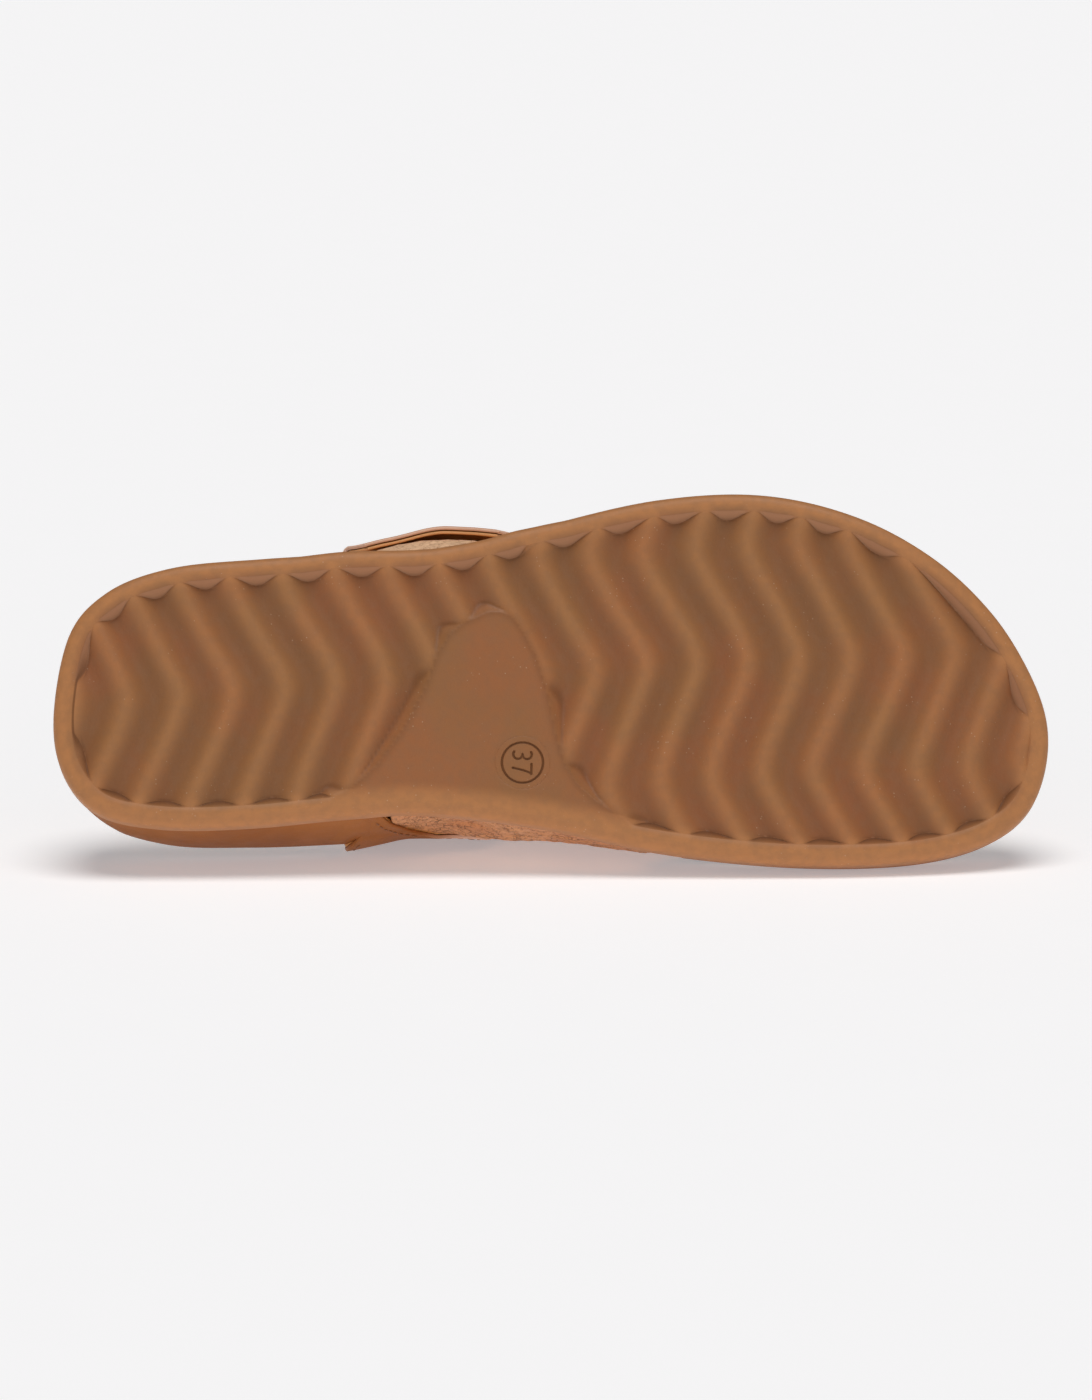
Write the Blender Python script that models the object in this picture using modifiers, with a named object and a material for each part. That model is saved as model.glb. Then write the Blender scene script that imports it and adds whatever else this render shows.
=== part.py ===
"""Toe post sandal for a right foot, empty and lying on its inner side.

The sandal is worked out standing, with X from heel to toe, Y towards the inner (big toe) side and
Z up from the ground. lay_down then turns it onto its inner side: sole edge and upper both meet Z = 0.
"""

import math

import bmesh
import bpy
import numpy as np
from mathutils import Matrix

# Driving sizes, in metres.
LENGTH = 0.253
BALL_WIDTH = 0.096
FIT_GAP = 0.0003

# Outsole: a rounded rim round a field of wave ridges, with a plain plateau under the arch.
OUTSOLE_SIDE = 0.0070
RIM_WIDTH = 0.0048
RIM_ROUND = 0.0022
TOE_SPRING = 0.0070
HEEL_BEVEL = 0.0022
TREAD_DEPTH = 0.0026
TREAD_WALL_RUN = 0.0024
TREAD_PITCH = 0.01313
TREAD_FIRST_RIDGE = 0.0315
TREAD_AXIS = math.radians(-5.5)
WAVE_SWING = 0.0115
WAVE_HALF_SPAN = 0.0300
WAVE_CREST_OFFSET = 0.0048
WAVE_ROUNDING = 0.93
RIDGE_SHARPNESS = 1.5

# Footbed: a wrapped midsole block under a leather insole.
INSOLE_THICKNESS = 0.0025
INSOLE_MARGIN = 0.0022
FOOTBED_ROUND = 0.0020
SIDE_INSET = 0.0006
EDGE_HEIGHT = 0.0370
DISH_POWER = 2.2

# Upper: a leather wall drawn over the last, an instep strap over it and a post between the toes.
UPPER_WALL = 0.0020
UPPER_GAP = 0.0005
STRAP_WALL = 0.0020
STRAP_GAP = 0.0005
STRAP_STAND_OFF = 0.0026
STRAP_FLARE = 0.0006
INSTEP_HEIGHT = 0.0500
OUTER_BULGE = 0.0110
BASE_LIFT = 0.0009
POST_WIDTH = 0.0088
POST_DEPTH = 0.0058
POST_SHARE = 0.742
POST_ACROSS = 0.387

# Outline of the outsole: share of LENGTH, then inner and outer side as shares of BALL_WIDTH.
OUTLINE = (
    (0.000, 0.077, 0.077),
    (0.012, 0.234, -0.139),
    (0.045, 0.336, -0.249),
    (0.110, 0.374, -0.326),
    (0.200, 0.364, -0.360),
    (0.300, 0.330, -0.385),
    (0.360, 0.314, -0.398),
    (0.420, 0.320, -0.420),
    (0.500, 0.342, -0.490),
    (0.600, 0.390, -0.560),
    (0.700, 0.415, -0.583),
    (0.800, 0.414, -0.533),
    (0.880, 0.387, -0.430),
    (0.940, 0.331, -0.292),
    (0.980, 0.242, -0.135),
    (1.000, 0.051, 0.051),
)

# Height of the footbed above the ground as shares of EDGE_HEIGHT:
# share of LENGTH, inner edge, outer edge, middle.
FOOTBED = (
    (0.00, 0.81, 0.81, 0.57),
    (0.10, 0.83, 0.79, 0.57),
    (0.20, 0.87, 0.77, 0.57),
    (0.30, 0.96, 0.74, 0.58),
    (0.38, 1.00, 0.71, 0.59),
    (0.45, 0.91, 0.67, 0.56),
    (0.52, 0.74, 0.61, 0.51),
    (0.60, 0.58, 0.55, 0.46),
    (0.72, 0.51, 0.50, 0.43),
    (0.84, 0.54, 0.54, 0.48),
    (0.93, 0.61, 0.61, 0.55),
    (1.00, 0.69, 0.69, 0.63),
)

# How far the footbed's top edge stands inside the outsole, in shares of SIDE_INSET:
# share of LENGTH, inner side, outer side.
TOP_INSET = (
    (0.00, 3.0, 3.0),
    (0.03, 4.6, 2.0),
    (0.07, 2.6, 1.0),
    (0.12, 0.6, 0.6),
    (0.20, -0.5, 0.0),
    (0.26, -1.4, -0.6),
    (0.31, -1.6, -1.0),
    (0.38, -0.6, -1.3),
    (0.44, 1.0, -0.8),
    (0.50, 2.6, 0.8),
    (0.56, 3.6, 2.0),
    (0.62, 4.2, 3.0),
    (0.80, 3.5, 3.5),
    (1.00, 3.0, 3.0),
)

# Plateau under the arch: share of LENGTH, share of BALL_WIDTH, closed beyond the inner edge.
PLATEAU = (
    (0.283, 0.450),
    (0.283, 0.281),
    (0.300, 0.261),
    (0.324, 0.200),
    (0.343, 0.128),
    (0.359, 0.053),
    (0.371, -0.016),
    (0.381, -0.104),
    (0.394, -0.170),
    (0.409, -0.201),
    (0.433, -0.233),
    (0.446, -0.232),
    (0.457, -0.217),
    (0.467, -0.182),
    (0.480, -0.121),
    (0.491, -0.041),
    (0.498, 0.027),
    (0.505, 0.107),
    (0.514, 0.174),
    (0.527, 0.227),
    (0.545, 0.268),
    (0.566, 0.304),
    (0.592, 0.347),
    (0.592, 0.450),
)

# Recess in the midsole's side where the upper passes down to the outsole, as shares of the
# upper's wall: share of LENGTH, inner side, outer side.
RECESS = (
    (0.262, 0.0, 0.0),
    (0.282, 0.0, 1.0),
    (0.300, 0.0, 1.0),
    (0.320, 1.1, 1.0),
    (0.350, 1.3, 1.0),
    (0.390, 1.8, 1.0),
    (0.430, 1.7, 1.0),
    (0.476, 1.0, 1.0),
    (0.498, 1.0, 0.0),
    (0.608, 1.0, 0.0),
    (0.632, 0.0, 0.0),
)

# How far heel-wards the recess's heel end leans at the top of the inner side, share of LENGTH.
RECESS_LEAN = 0.030

# Cross-section of the last above the footbed: share of the way round from inner to outer base,
# place across as a share of the half width, height as a share of the arch height.
SIDE_SHARE = 0.12
ARCH = (
    (0.12, 1.00, 0.00),
    (0.20, 0.86, 0.24),
    (0.27, 0.70, 0.48),
    (0.34, 0.51, 0.72),
    (0.41, 0.24, 0.92),
    (0.48, -0.08, 1.00),
    (0.56, -0.42, 0.98),
    (0.65, -0.76, 0.82),
    (0.73, -0.97, 0.56),
    (0.80, -1.04, 0.30),
    (0.88, -1.00, 0.00),
)

# Outward bulge of the outer side: share of the way round, share of OUTER_BULGE.
BULGE = (
    (0.50, 0.00),
    (0.60, 0.15),
    (0.70, 0.65),
    (0.78, 1.00),
    (0.84, 0.90),
    (0.88, 0.70),
    (0.94, 0.25),
    (1.00, 0.00),
)

# Along the shoe: share of LENGTH, arch height as a share of INSTEP_HEIGHT, share of the bulge,
# and how far the section leans away from the inner side.
INSTEP = (
    (0.25, 1.04, 0.00, 1.00),
    (0.29, 1.03, 0.25, 1.00),
    (0.33, 1.02, 0.60, 1.00),
    (0.37, 0.99, 0.68, 1.00),
    (0.41, 0.93, 0.54, 1.00),
    (0.46, 0.84, 0.16, 0.90),
    (0.50, 0.76, 0.05, 0.70),
    (0.56, 0.64, 0.00, 0.40),
    (0.66, 0.50, 0.00, 0.30),
    (0.80, 0.40, 0.00, 0.30),
)

# Edges of the upper: share of the way round, rear edge and front edge as shares of LENGTH.
UPPER_EDGES = (
    (0.00, 0.328, 0.600),
    (0.12, 0.303, 0.602),
    (0.22, 0.325, 0.630),
    (0.30, 0.380, 0.680),
    (0.345, 0.412, 0.735),
    (0.367, 0.428, 0.759),
    (0.390, 0.440, 0.768),
    (0.413, 0.447, 0.757),
    (0.440, 0.450, 0.722),
    (0.52, 0.438, 0.640),
    (0.66, 0.375, 0.548),
    (0.80, 0.312, 0.492),
    (0.88, 0.296, 0.474),
    (1.00, 0.296, 0.464),
)

# Edges of the instep strap, from its seam on the inner side to its loose outer end.
STRAP_EDGES = (
    (0.015, 0.325, 0.337),
    (0.05, 0.317, 0.362),
    (0.09, 0.302, 0.392),
    (0.125, 0.2895, 0.413),
    (0.16, 0.298, 0.431),
    (0.21, 0.296, 0.447),
    (0.30, 0.291, 0.462),
    (0.50, 0.298, 0.474),
    (0.70, 0.290, 0.470),
    (0.79, 0.284, 0.464),
    (0.815, 0.288, 0.461),
    (0.832, 0.297, 0.453),
    (0.842, 0.312, 0.439),
)

RECESS_STATIONS = (0.270, 0.282, 0.300, 0.320, 0.350, 0.390, 0.476, 0.498, 0.608, 0.632)
TREAD_STATIONS = 108
FOOTBED_STATIONS = 38
ROWS_ROUND = 48
UPPER_COLUMNS = 11
STRAP_COLUMNS = 9
EXPECTED_LEAN = math.radians(24)

MATERIALS = {
    "gum_rubber": ((0.330, 0.160, 0.070), 0.45),
    "wrap_leather": ((0.420, 0.200, 0.085), 0.50),
    "insole_leather": ((0.520, 0.270, 0.130), 0.60),
    "crackle_leather": ((0.560, 0.300, 0.180), 0.55),
    "strap_leather": ((0.480, 0.230, 0.110), 0.50),
    "post_leather": ((0.480, 0.230, 0.110), 0.50),
}


def smooth_step(value):
    """Eased 0 to 1 ramp."""
    value = np.clip(value, 0.0, 1.0)
    return value * value * (3.0 - 2.0 * value)


def curve_through(knots, values, at, steady=False):
    """Smooth curve through values at rising knots, read at the places in at.

    A steady curve never passes above or below the two values it runs between.
    """
    knots = np.asarray(knots, float)
    values = np.asarray(values, float)
    at = np.clip(np.asarray(at, float), knots[0], knots[-1])
    slopes = np.gradient(values, knots)
    if steady:
        secants = np.diff(values) / np.diff(knots)
        before, after = np.append(secants[0], secants), np.append(secants, secants[-1])
        limit = 3.0 * np.minimum(np.abs(before), np.abs(after)) * (before * after > 0)
        slopes = np.clip(slopes, -limit, limit)
    left = np.clip(np.searchsorted(knots, at, side="right") - 1, 0, len(knots) - 2)
    width = knots[left + 1] - knots[left]
    t = (at - knots[left]) / width
    return (
        (1 + 2 * t) * (1 - t) ** 2 * values[left]
        + t * (1 - t) ** 2 * width * slopes[left]
        + t * t * (3 - 2 * t) * values[left + 1]
        + t * t * (t - 1) * width * slopes[left + 1]
    )


def read_table(table, column, share, steady=False):
    """One column of a table as a smooth function of its first column."""
    rows = np.array(table, float)
    return curve_through(rows[:, 0], rows[:, column], share, steady)


def angle_of(share):
    """Turns a share of the length into an angle, which spaces the round ends evenly."""
    return np.arccos(np.clip(1.0 - 2.0 * np.asarray(share, float), -1.0, 1.0))


def outline_side(share, inner):
    """Distance of the outline from the long axis, smooth round heel and toe."""
    rows = np.array(OUTLINE, float)
    angles = angle_of(rows[:, 0])
    own, other = (rows[:, 1], rows[:, 2]) if inner else (rows[:, 2], rows[:, 1])
    knots = np.concatenate([-angles[2:0:-1], angles, 2 * math.pi - angles[-2:-4:-1]])
    values = np.concatenate([other[2:0:-1], own, other[-2:-4:-1]])
    return BALL_WIDTH * curve_through(knots, values, angle_of(share))


def even_stations(count):
    """Shares of the length that step evenly along the outline, heel tip to toe tip."""
    share = (1.0 - np.cos(np.linspace(0.0, math.pi, 2001))) / 2.0
    travelled = 0.0
    for inner in (True, False):
        steps = np.hypot(np.diff(share * LENGTH), np.diff(outline_side(share, inner)))
        travelled = travelled + np.concatenate([[0.0], np.cumsum(steps)])
    return np.interp(np.linspace(0.0, travelled[-1], count + 1), travelled, share)


class Outline:
    """The outline as a closed loop: up the inner side, round the toe, back down the outer side."""

    def __init__(self, count, kept=()):
        stations = even_stations(count)
        for share in kept:
            near = np.abs(stations - share) < 0.25 / count
            stations = np.sort(np.append(stations[~near | (stations % 1.0 == 0.0)], share))
        count = len(stations) - 1
        self.share = np.concatenate([stations, stations[-2:0:-1]])
        self.inner = np.arange(len(self.share)) <= count
        inner_side = outline_side(self.share, True)
        outer_side = outline_side(self.share, False)
        across = np.where(self.inner, inner_side, outer_side)
        self.points = np.stack([self.share * LENGTH, across], axis=1)
        along = np.roll(self.points, -1, axis=0) - np.roll(self.points, 1, axis=0)
        along /= np.linalg.norm(along, axis=1)[:, None]
        self.inward = np.stack([along[:, 1], -along[:, 0]], axis=1)
        spine_share = np.clip(self.share, 0.13, 0.86)
        middle = (outline_side(spine_share, True) + outline_side(spine_share, False)) / 2
        self.spine = np.stack([spine_share * LENGTH, middle], axis=1)
        self.spine_share = spine_share

    def inset(self, distance):
        """The loop moved inwards, by one distance or by one for each point."""
        return self.points + self.inward * np.reshape(distance, (-1, 1))

    def towards_spine(self, ring, part):
        """The ring drawn towards the spine: part is 0 on the ring and 1 on the spine."""
        return ring + (self.spine - ring) * part


def distance_to_line(points, line):
    """Distance of each point from a polyline."""
    start, step = line[:-1], np.diff(line, axis=0)
    offset = points[:, None, :] - start[None, :, :]
    share = np.sum(offset * step, axis=2) / np.maximum(np.sum(step * step, axis=1), 1e-18)
    near = offset - np.clip(share, 0.0, 1.0)[:, :, None] * step
    return np.min(np.linalg.norm(near, axis=2), axis=1)


def inside_polygon(points, polygon):
    """Whether each point lies inside a closed polygon, by counting crossings."""
    inside = np.zeros(len(points), bool)
    for (x0, y0), (x1, y1) in zip(polygon, np.roll(polygon, -1, axis=0)):
        spans = (y0 > points[:, 1]) != (y1 > points[:, 1])
        crossing = x0 + (points[:, 1] - y0) * (x1 - x0) / (y1 - y0 if y1 != y0 else 1.0)
        inside ^= spans & (points[:, 0] < crossing)
    return inside


def rocker(share):
    """Height of the sole's walking surface: a heel bevel, then flat, then toe spring."""
    heel = HEEL_BEVEL * np.clip((0.07 - share) / 0.07, 0.0, 1.0) ** 2
    toe = TOE_SPRING * np.clip((share - 0.76) / 0.24, 0.0, 1.0) ** 1.8
    return heel + toe


def tread_depth(points, edge_line):
    """Depth of the wave tread below the ridge tops at each point of the sole."""
    turned_x = points[:, 0] * math.cos(TREAD_AXIS) + points[:, 1] * math.sin(TREAD_AXIS)
    turned_y = points[:, 1] * math.cos(TREAD_AXIS) - points[:, 0] * math.sin(TREAD_AXIS)
    zigzag = np.arcsin(
        WAVE_ROUNDING * np.cos(math.pi * (turned_y - WAVE_CREST_OFFSET) / WAVE_HALF_SPAN)
    ) / (2 * math.asin(WAVE_ROUNDING))
    phase = (turned_x - TREAD_FIRST_RIDGE - WAVE_SWING * (zigzag - 0.5)) / TREAD_PITCH
    ridge = (0.5 + 0.5 * np.cos(2 * math.pi * phase)) ** RIDGE_SHARPNESS
    plateau = np.array(PLATEAU) * (LENGTH, BALL_WIDTH)
    from_plateau = distance_to_line(points, np.vstack([plateau, plateau[:1]]))
    from_plateau[inside_polygon(points, plateau)] = 0.0
    from_rim = distance_to_line(points, edge_line) - RIM_WIDTH
    wall = np.minimum(from_rim, from_plateau) * TREAD_DEPTH / TREAD_WALL_RUN
    return np.clip(np.minimum(TREAD_DEPTH * (1.0 - ridge), wall), 0.0, None)


def side_inset(share, inner, up):
    """How far the midsole's side stands inside the outsole: up is 0 at its foot, 1 at its edge."""
    leaned = share + RECESS_LEAN * up * smooth_step((0.50 - share) / 0.10)
    inner_cut, outer_cut = read_table(RECESS, 1, leaned, True), read_table(RECESS, 2, share, True)
    cut = np.where(inner, inner_cut, outer_cut) * (UPPER_WALL + UPPER_GAP)
    inner_top, outer_top = read_table(TOP_INSET, 1, share), read_table(TOP_INSET, 2, share)
    top = SIDE_INSET * np.where(inner, inner_top, outer_top)
    return SIDE_INSET + (top - SIDE_INSET) * up + cut


def joint_height(share):
    """Height of the outsole's top, where the midsole and the upper meet it."""
    return rocker(share) + OUTSOLE_SIDE


def edge_height(share, inner):
    """Height of the footbed's edge."""
    inner_edge, outer_edge = read_table(FOOTBED, 1, share), read_table(FOOTBED, 2, share)
    return EDGE_HEIGHT * np.where(inner, inner_edge, outer_edge)


def loft(name, rings, closed_ends):
    """A closed mesh through rings with the same number of points; its ends are drawn to a line.

    Each quad is split along its more level diagonal, so the edges follow the tread's ridges.
    """
    mesh = bmesh.new()
    rows = [[mesh.verts.new(point) for point in ring] for ring in rings]
    count = len(rows[0])
    for lower, upper in zip(rows, rows[1:]):
        for i in range(count):
            j = (i + 1) % count
            a, b, c, d = lower[i], lower[j], upper[j], upper[i]
            if abs(a.co.z - c.co.z) <= abs(b.co.z - d.co.z):
                mesh.faces.new((a, b, c))
                mesh.faces.new((a, c, d))
            else:
                mesh.faces.new((a, b, d))
                mesh.faces.new((b, c, d))
    if not closed_ends:
        mesh.faces.new(rows[0])
        mesh.faces.new(rows[-1])
    bmesh.ops.remove_doubles(mesh, verts=mesh.verts, dist=1e-6)
    bmesh.ops.dissolve_degenerate(mesh, edges=mesh.edges, dist=1e-7)
    bmesh.ops.triangulate(mesh, faces=mesh.faces)
    bmesh.ops.recalc_face_normals(mesh, faces=mesh.faces)
    data = bpy.data.meshes.new(name)
    mesh.to_mesh(data)
    mesh.free()
    return data


def with_height(ring, height):
    """Adds a height, one number or one for each point, to a flat ring."""
    return np.column_stack([ring, np.broadcast_to(height, len(ring))])


def outsole_mesh():
    """Rubber outsole: tread, rim, side and flat top."""
    loop = Outline(TREAD_STATIONS)
    ground = rocker(loop.share)
    edge_line = np.vstack([loop.points, loop.points[:1]])
    wall_foot = loop.inset(RIM_WIDTH + TREAD_WALL_RUN)
    rings = []
    for part in (1.0, 0.84, 0.68, 0.52, 0.37, 0.23, 0.10, 0.0):
        ring = loop.towards_spine(wall_foot, part)
        height = rocker(ring[:, 0] / LENGTH) + tread_depth(ring, edge_line)
        rings.append(with_height(ring, height))
    rings.append(with_height(loop.inset(RIM_WIDTH), ground))
    for turn in (0.0, 45.0, 90.0):
        out = RIM_ROUND * (1.0 - math.sin(math.radians(turn)))
        up = RIM_ROUND * (1.0 - math.cos(math.radians(turn)))
        rings.append(with_height(loop.inset(out), ground + up))
    top = joint_height(loop.share)
    rings.append(with_height(loop.points, top))
    rings.append(with_height(loop.spine, joint_height(loop.spine_share)))
    return loft("outsole", rings, True)


def footbed_rings(loop, margin, lift):
    """Rings of the dished footbed from its edge to the spine, raised by lift."""
    inset = side_inset(loop.share, loop.inner, 1.0) + margin
    edge = edge_height(loop.share, loop.inner) - INSOLE_THICKNESS
    middle = EDGE_HEIGHT * read_table(FOOTBED, 3, loop.spine_share) - INSOLE_THICKNESS
    outer_ring = loop.inset(inset)
    rings = []
    for part in (0.0, 0.16, 0.36, 0.65, 1.0):
        height = middle + (edge - middle) * (1.0 - part) ** DISH_POWER + lift
        rings.append(with_height(loop.towards_spine(outer_ring, part), height))
    return rings


def midsole_mesh():
    """Wrapped midsole block: flat foot, side wall with the strap recesses, dished top."""
    loop = Outline(FOOTBED_STATIONS, RECESS_STATIONS)
    foot = joint_height(loop.share) + FIT_GAP
    edge = edge_height(loop.share, loop.inner) - INSOLE_THICKNESS
    bottom = loop.inset(side_inset(loop.share, loop.inner, 0.0))
    rings = [
        with_height(loop.spine, joint_height(loop.spine_share) + FIT_GAP),
        with_height(bottom, foot),
    ]
    for up in (0.5, 1.0):
        side = loop.inset(side_inset(loop.share, loop.inner, up))
        height = foot + (edge - FOOTBED_ROUND / 2 - foot) * up
        rings.append(with_height(side, height))
    rings += footbed_rings(loop, FOOTBED_ROUND / 2, 0.0)
    return loft("midsole", rings, True)


def insole_mesh():
    """Leather insole: a sheet of even thickness lying in the midsole's dish."""
    loop = Outline(FOOTBED_STATIONS, RECESS_STATIONS)
    under = footbed_rings(loop, INSOLE_MARGIN, FIT_GAP)
    over = footbed_rings(loop, INSOLE_MARGIN, INSOLE_THICKNESS)
    return loft("insole", under[::-1] + over, True)


def last_surface(share, across):
    """Point on the last: share along the shoe, across from the inner to the outer base."""
    inner = across < 0.5
    foot = joint_height(share) + FIT_GAP + BASE_LIFT
    up = np.clip(np.where(inner, across, 1.0 - across) / SIDE_SHARE, 0.0, 1.0)
    walls = [
        outline_side(share, side) + sign * (side_inset(share, side, up) - UPPER_GAP)
        for side, sign in ((True, -1.0), (False, 1.0))
    ]
    edges = [edge_height(share, side) - INSOLE_THICKNESS for side in (True, False)]
    centre, half = (walls[0] + walls[1]) / 2, (walls[0] - walls[1]) / 2
    place, rise = read_table(ARCH, 1, across), read_table(ARCH, 2, across)
    bulge = read_table(INSTEP, 2, share)
    plain = np.cos(math.pi * (across - SIDE_SHARE) / (1.0 - 2.0 * SIDE_SHARE))
    place = plain + (place - plain) * read_table(INSTEP, 3, share)
    base = edges[0] + (edges[1] - edges[0]) * (1.0 - place) / 2
    over = (across > SIDE_SHARE) & (across < 1.0 - SIDE_SHARE)
    y = np.where(over, centre + half * place, np.where(inner, walls[0], walls[1]))
    edge = np.where(inner, edges[0], edges[1])
    height = INSTEP_HEIGHT * read_table(INSTEP, 1, share)
    z = np.where(over, base + height * rise, foot + (edge - foot) * up)
    y = y - OUTER_BULGE * bulge * np.where(inner, 0.0, read_table(BULGE, 1, across))
    return np.stack([share * LENGTH, y, z], axis=-1)


def last_point(share, across, lift):
    """Point lifted outwards from the last."""
    share, across = np.asarray(share, float), np.asarray(across, float)
    step = 0.004
    low, high = np.clip(across - step, 0.0, 1.0), np.clip(across + step, 0.0, 1.0)
    along = last_surface(share + step, across) - last_surface(share - step, across)
    round_way = last_surface(share, high) - last_surface(share, low)
    normal = np.cross(round_way, along)
    normal /= np.linalg.norm(normal, axis=-1)[..., None]
    return last_surface(share, across) + normal * np.reshape(lift, (-1, 1))


def rows_between(low, high):
    """Steps of the way round that every strap shares, with its own two ends."""
    steps = np.arange(1, ROWS_ROUND) / ROWS_ROUND
    keep = steps[(steps > low + 0.004) & (steps < high - 0.004)]
    return np.concatenate([[low], keep, [high]])


def strap_mesh(name, edges, columns, lift):
    """Open sheet over the last between a rear and a front edge; Solidify gives it its wall."""
    mesh = bmesh.new()
    grid = []
    for across in rows_between(edges[0][0], edges[-1][0]):
        rear, front = (float(read_table(edges, k, across, True)) for k in (1, 2))
        share = rear + (front - rear) * np.linspace(0.0, 1.0, columns)
        place = np.full(columns, across)
        points = last_point(share, place, lift(share, place))
        grid.append([mesh.verts.new(point) for point in points])
    for lower, upper in zip(grid, grid[1:]):
        for i in range(columns - 1):
            mesh.faces.new((lower[i], upper[i], upper[i + 1], lower[i + 1]))
    data = bpy.data.meshes.new(name)
    mesh.to_mesh(data)
    mesh.free()
    return data


def strap_lift(share, across):
    """Lift of the strap: on the upper, clear of it at its loose end, flared at its heel edge."""
    loose = STRAP_STAND_OFF * smooth_step((across - 0.72) / 0.10)
    rise = smooth_step((across - 0.06) / 0.05) * smooth_step((0.24 - across) / 0.08)
    flare = STRAP_FLARE * rise * smooth_step((0.325 - share) / 0.030)
    return UPPER_WALL + STRAP_GAP + loose + flare


def upper_lift(share, across):
    """The upper lies on the last."""
    return np.zeros_like(share)


def footbed_top(x, y):
    """Height of the insole's top at a point inside the shoe."""
    share = x / LENGTH
    walls = [
        outline_side(share, k)
        + (-1.0 if k else 1.0) * (side_inset(share, k, 1.0) + INSOLE_MARGIN)
        for k in (True, False)
    ]
    middle = (outline_side(share, True) + outline_side(share, False)) / 2
    inner = y > middle
    reach = abs((y - middle) / ((walls[0] if inner else walls[1]) - middle))
    edge = edge_height(share, inner)
    centre = EDGE_HEIGHT * read_table(FOOTBED, 3, share)
    return float(centre + (edge - centre) * reach**DISH_POWER)


def last_height(x, y):
    """Height of the last above a point inside the shoe."""
    across = np.linspace(0.15, 0.70, 111)
    section = last_surface(np.full(len(across), x / LENGTH), across)
    return float(np.interp(y, section[::-1, 1], section[::-1, 2]))


def toe_post_mesh():
    """Leather post from the insole to the tip of the upper, leaning back a little."""
    top = last_surface(np.array([POST_SHARE]), np.array([POST_ACROSS]))[0]
    foot_x = top[0] + POST_DEPTH / 2
    foot = np.array([foot_x, top[1], footbed_top(foot_x, top[1]) + 2 * FIT_GAP])
    turns = np.linspace(0.0, 2 * math.pi, 15)[:-1]
    rings = []
    for part, swell in ((0.0, 1.15), (0.25, 0.95), (0.6, 0.92), (1.0, 1.1)):
        centre = foot + (top - foot) * part
        x = centre[0] + POST_DEPTH / 2 * swell * np.cos(turns)
        y = centre[1] + POST_WIDTH / 2 * swell * np.sin(turns)
        rings.append(np.column_stack([x, y, np.full(len(turns), centre[2])]))
    ends = ((rings[0], footbed_top, 2 * FIT_GAP), (rings[-1], last_height, -2 * FIT_GAP))
    for ring, height, gap in ends:
        ring[:, 2] = [height(x, y) + gap for x, y in ring[:, :2]]
    return loft("toe_post", rings, False)


def make_material(name):
    """Principled material with a part's colour and roughness."""
    colour, roughness = MATERIALS[name]
    material = bpy.data.materials.new(name)
    material.use_nodes = True
    shader = material.node_tree.nodes["Principled BSDF"]
    shader.inputs["Base Color"].default_value = (*colour, 1.0)
    shader.inputs["Roughness"].default_value = roughness
    return material


def add_piece(name, data, material, wall=None):
    """Puts a mesh in the scene as a named piece; a sheet gets its wall from Solidify."""
    piece = bpy.data.objects.new(name, data)
    data.materials.append(make_material(material))
    if wall:
        solidify = piece.modifiers.new("wall", "SOLIDIFY")
        solidify.thickness = wall
        solidify.offset = 1.0
        solidify.use_even_offset = True
    data.shade_smooth()
    data.set_sharp_from_angle(angle=math.radians(40))
    return piece


def solid_of(piece):
    """Vertices of a finished piece and its middle weighted by volume, with that volume."""
    evaluated = piece.evaluated_get(bpy.context.evaluated_depsgraph_get())
    data = evaluated.to_mesh()
    data.calc_loop_triangles()
    points = np.array([vertex.co for vertex in data.vertices])
    corners = points[np.array([triangle.vertices for triangle in data.loop_triangles])]
    evaluated.to_mesh_clear()
    volumes = np.einsum("ij,ij->i", corners[:, 0], np.cross(corners[:, 1], corners[:, 2])) / 6
    middle = (corners.sum(axis=1) / 4 * volumes[:, None]).sum(axis=0)
    return points, middle, volumes.sum()


def resting_face(points, balance):
    """Outward normal of the hull face the sandal rests on when it leans back on its inner side."""
    hull = bmesh.new()
    for point in points:
        hull.verts.new(point)
    bmesh.ops.convex_hull(hull, input=hull.verts)
    lean = np.array([0.0, math.cos(EXPECTED_LEAN), math.sin(EXPECTED_LEAN)])
    best, best_score = None, -1.0
    for face in hull.faces:
        corners = np.array([vertex.co for vertex in face.verts])
        normal = np.cross(corners[1] - corners[0], corners[2] - corners[0])
        area = np.linalg.norm(normal)
        if area < 1e-9:
            continue
        normal /= area
        if np.dot(normal, corners[0] - balance) < 0:
            normal = -normal
        foot = balance + normal * np.dot(normal, corners[0] - balance)
        turns = [
            np.dot(np.cross(corners[k - 2] - corners[k], foot - corners[k]), normal)
            for k in range(3)
        ]
        inside = min(turns) > 0 or max(turns) < 0
        if inside and np.dot(normal, lean) > best_score:
            best, best_score = normal, np.dot(normal, lean)
    hull.free()
    return best


def lay_down(pieces):
    """Parents the pieces to an empty that lays the sandal on its inner side, toe along +X."""
    solids = [solid_of(piece) for piece in pieces]
    points = np.vstack([solid[0] for solid in solids])
    balance = sum(solid[1] for solid in solids) / sum(solid[2] for solid in solids)
    down = resting_face(points, balance)
    ahead = np.array([1.0, 0.0, 0.0]) + down * -down[0]
    ahead /= np.linalg.norm(ahead)
    turn = np.array([ahead, np.cross(-down, ahead), -down])
    turned = points @ turn.T
    low, high = turned.min(axis=0), turned.max(axis=0)
    pose = Matrix(turn.tolist()).to_4x4()
    pose.translation = (-(low[0] + high[0]) / 2, -(low[1] + high[1]) / 2, -low[2])
    rest = bpy.data.objects.new("resting_sandal", None)
    rest.matrix_world = pose
    bpy.context.scene.collection.objects.link(rest)
    for piece in pieces:
        piece.parent = rest


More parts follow.
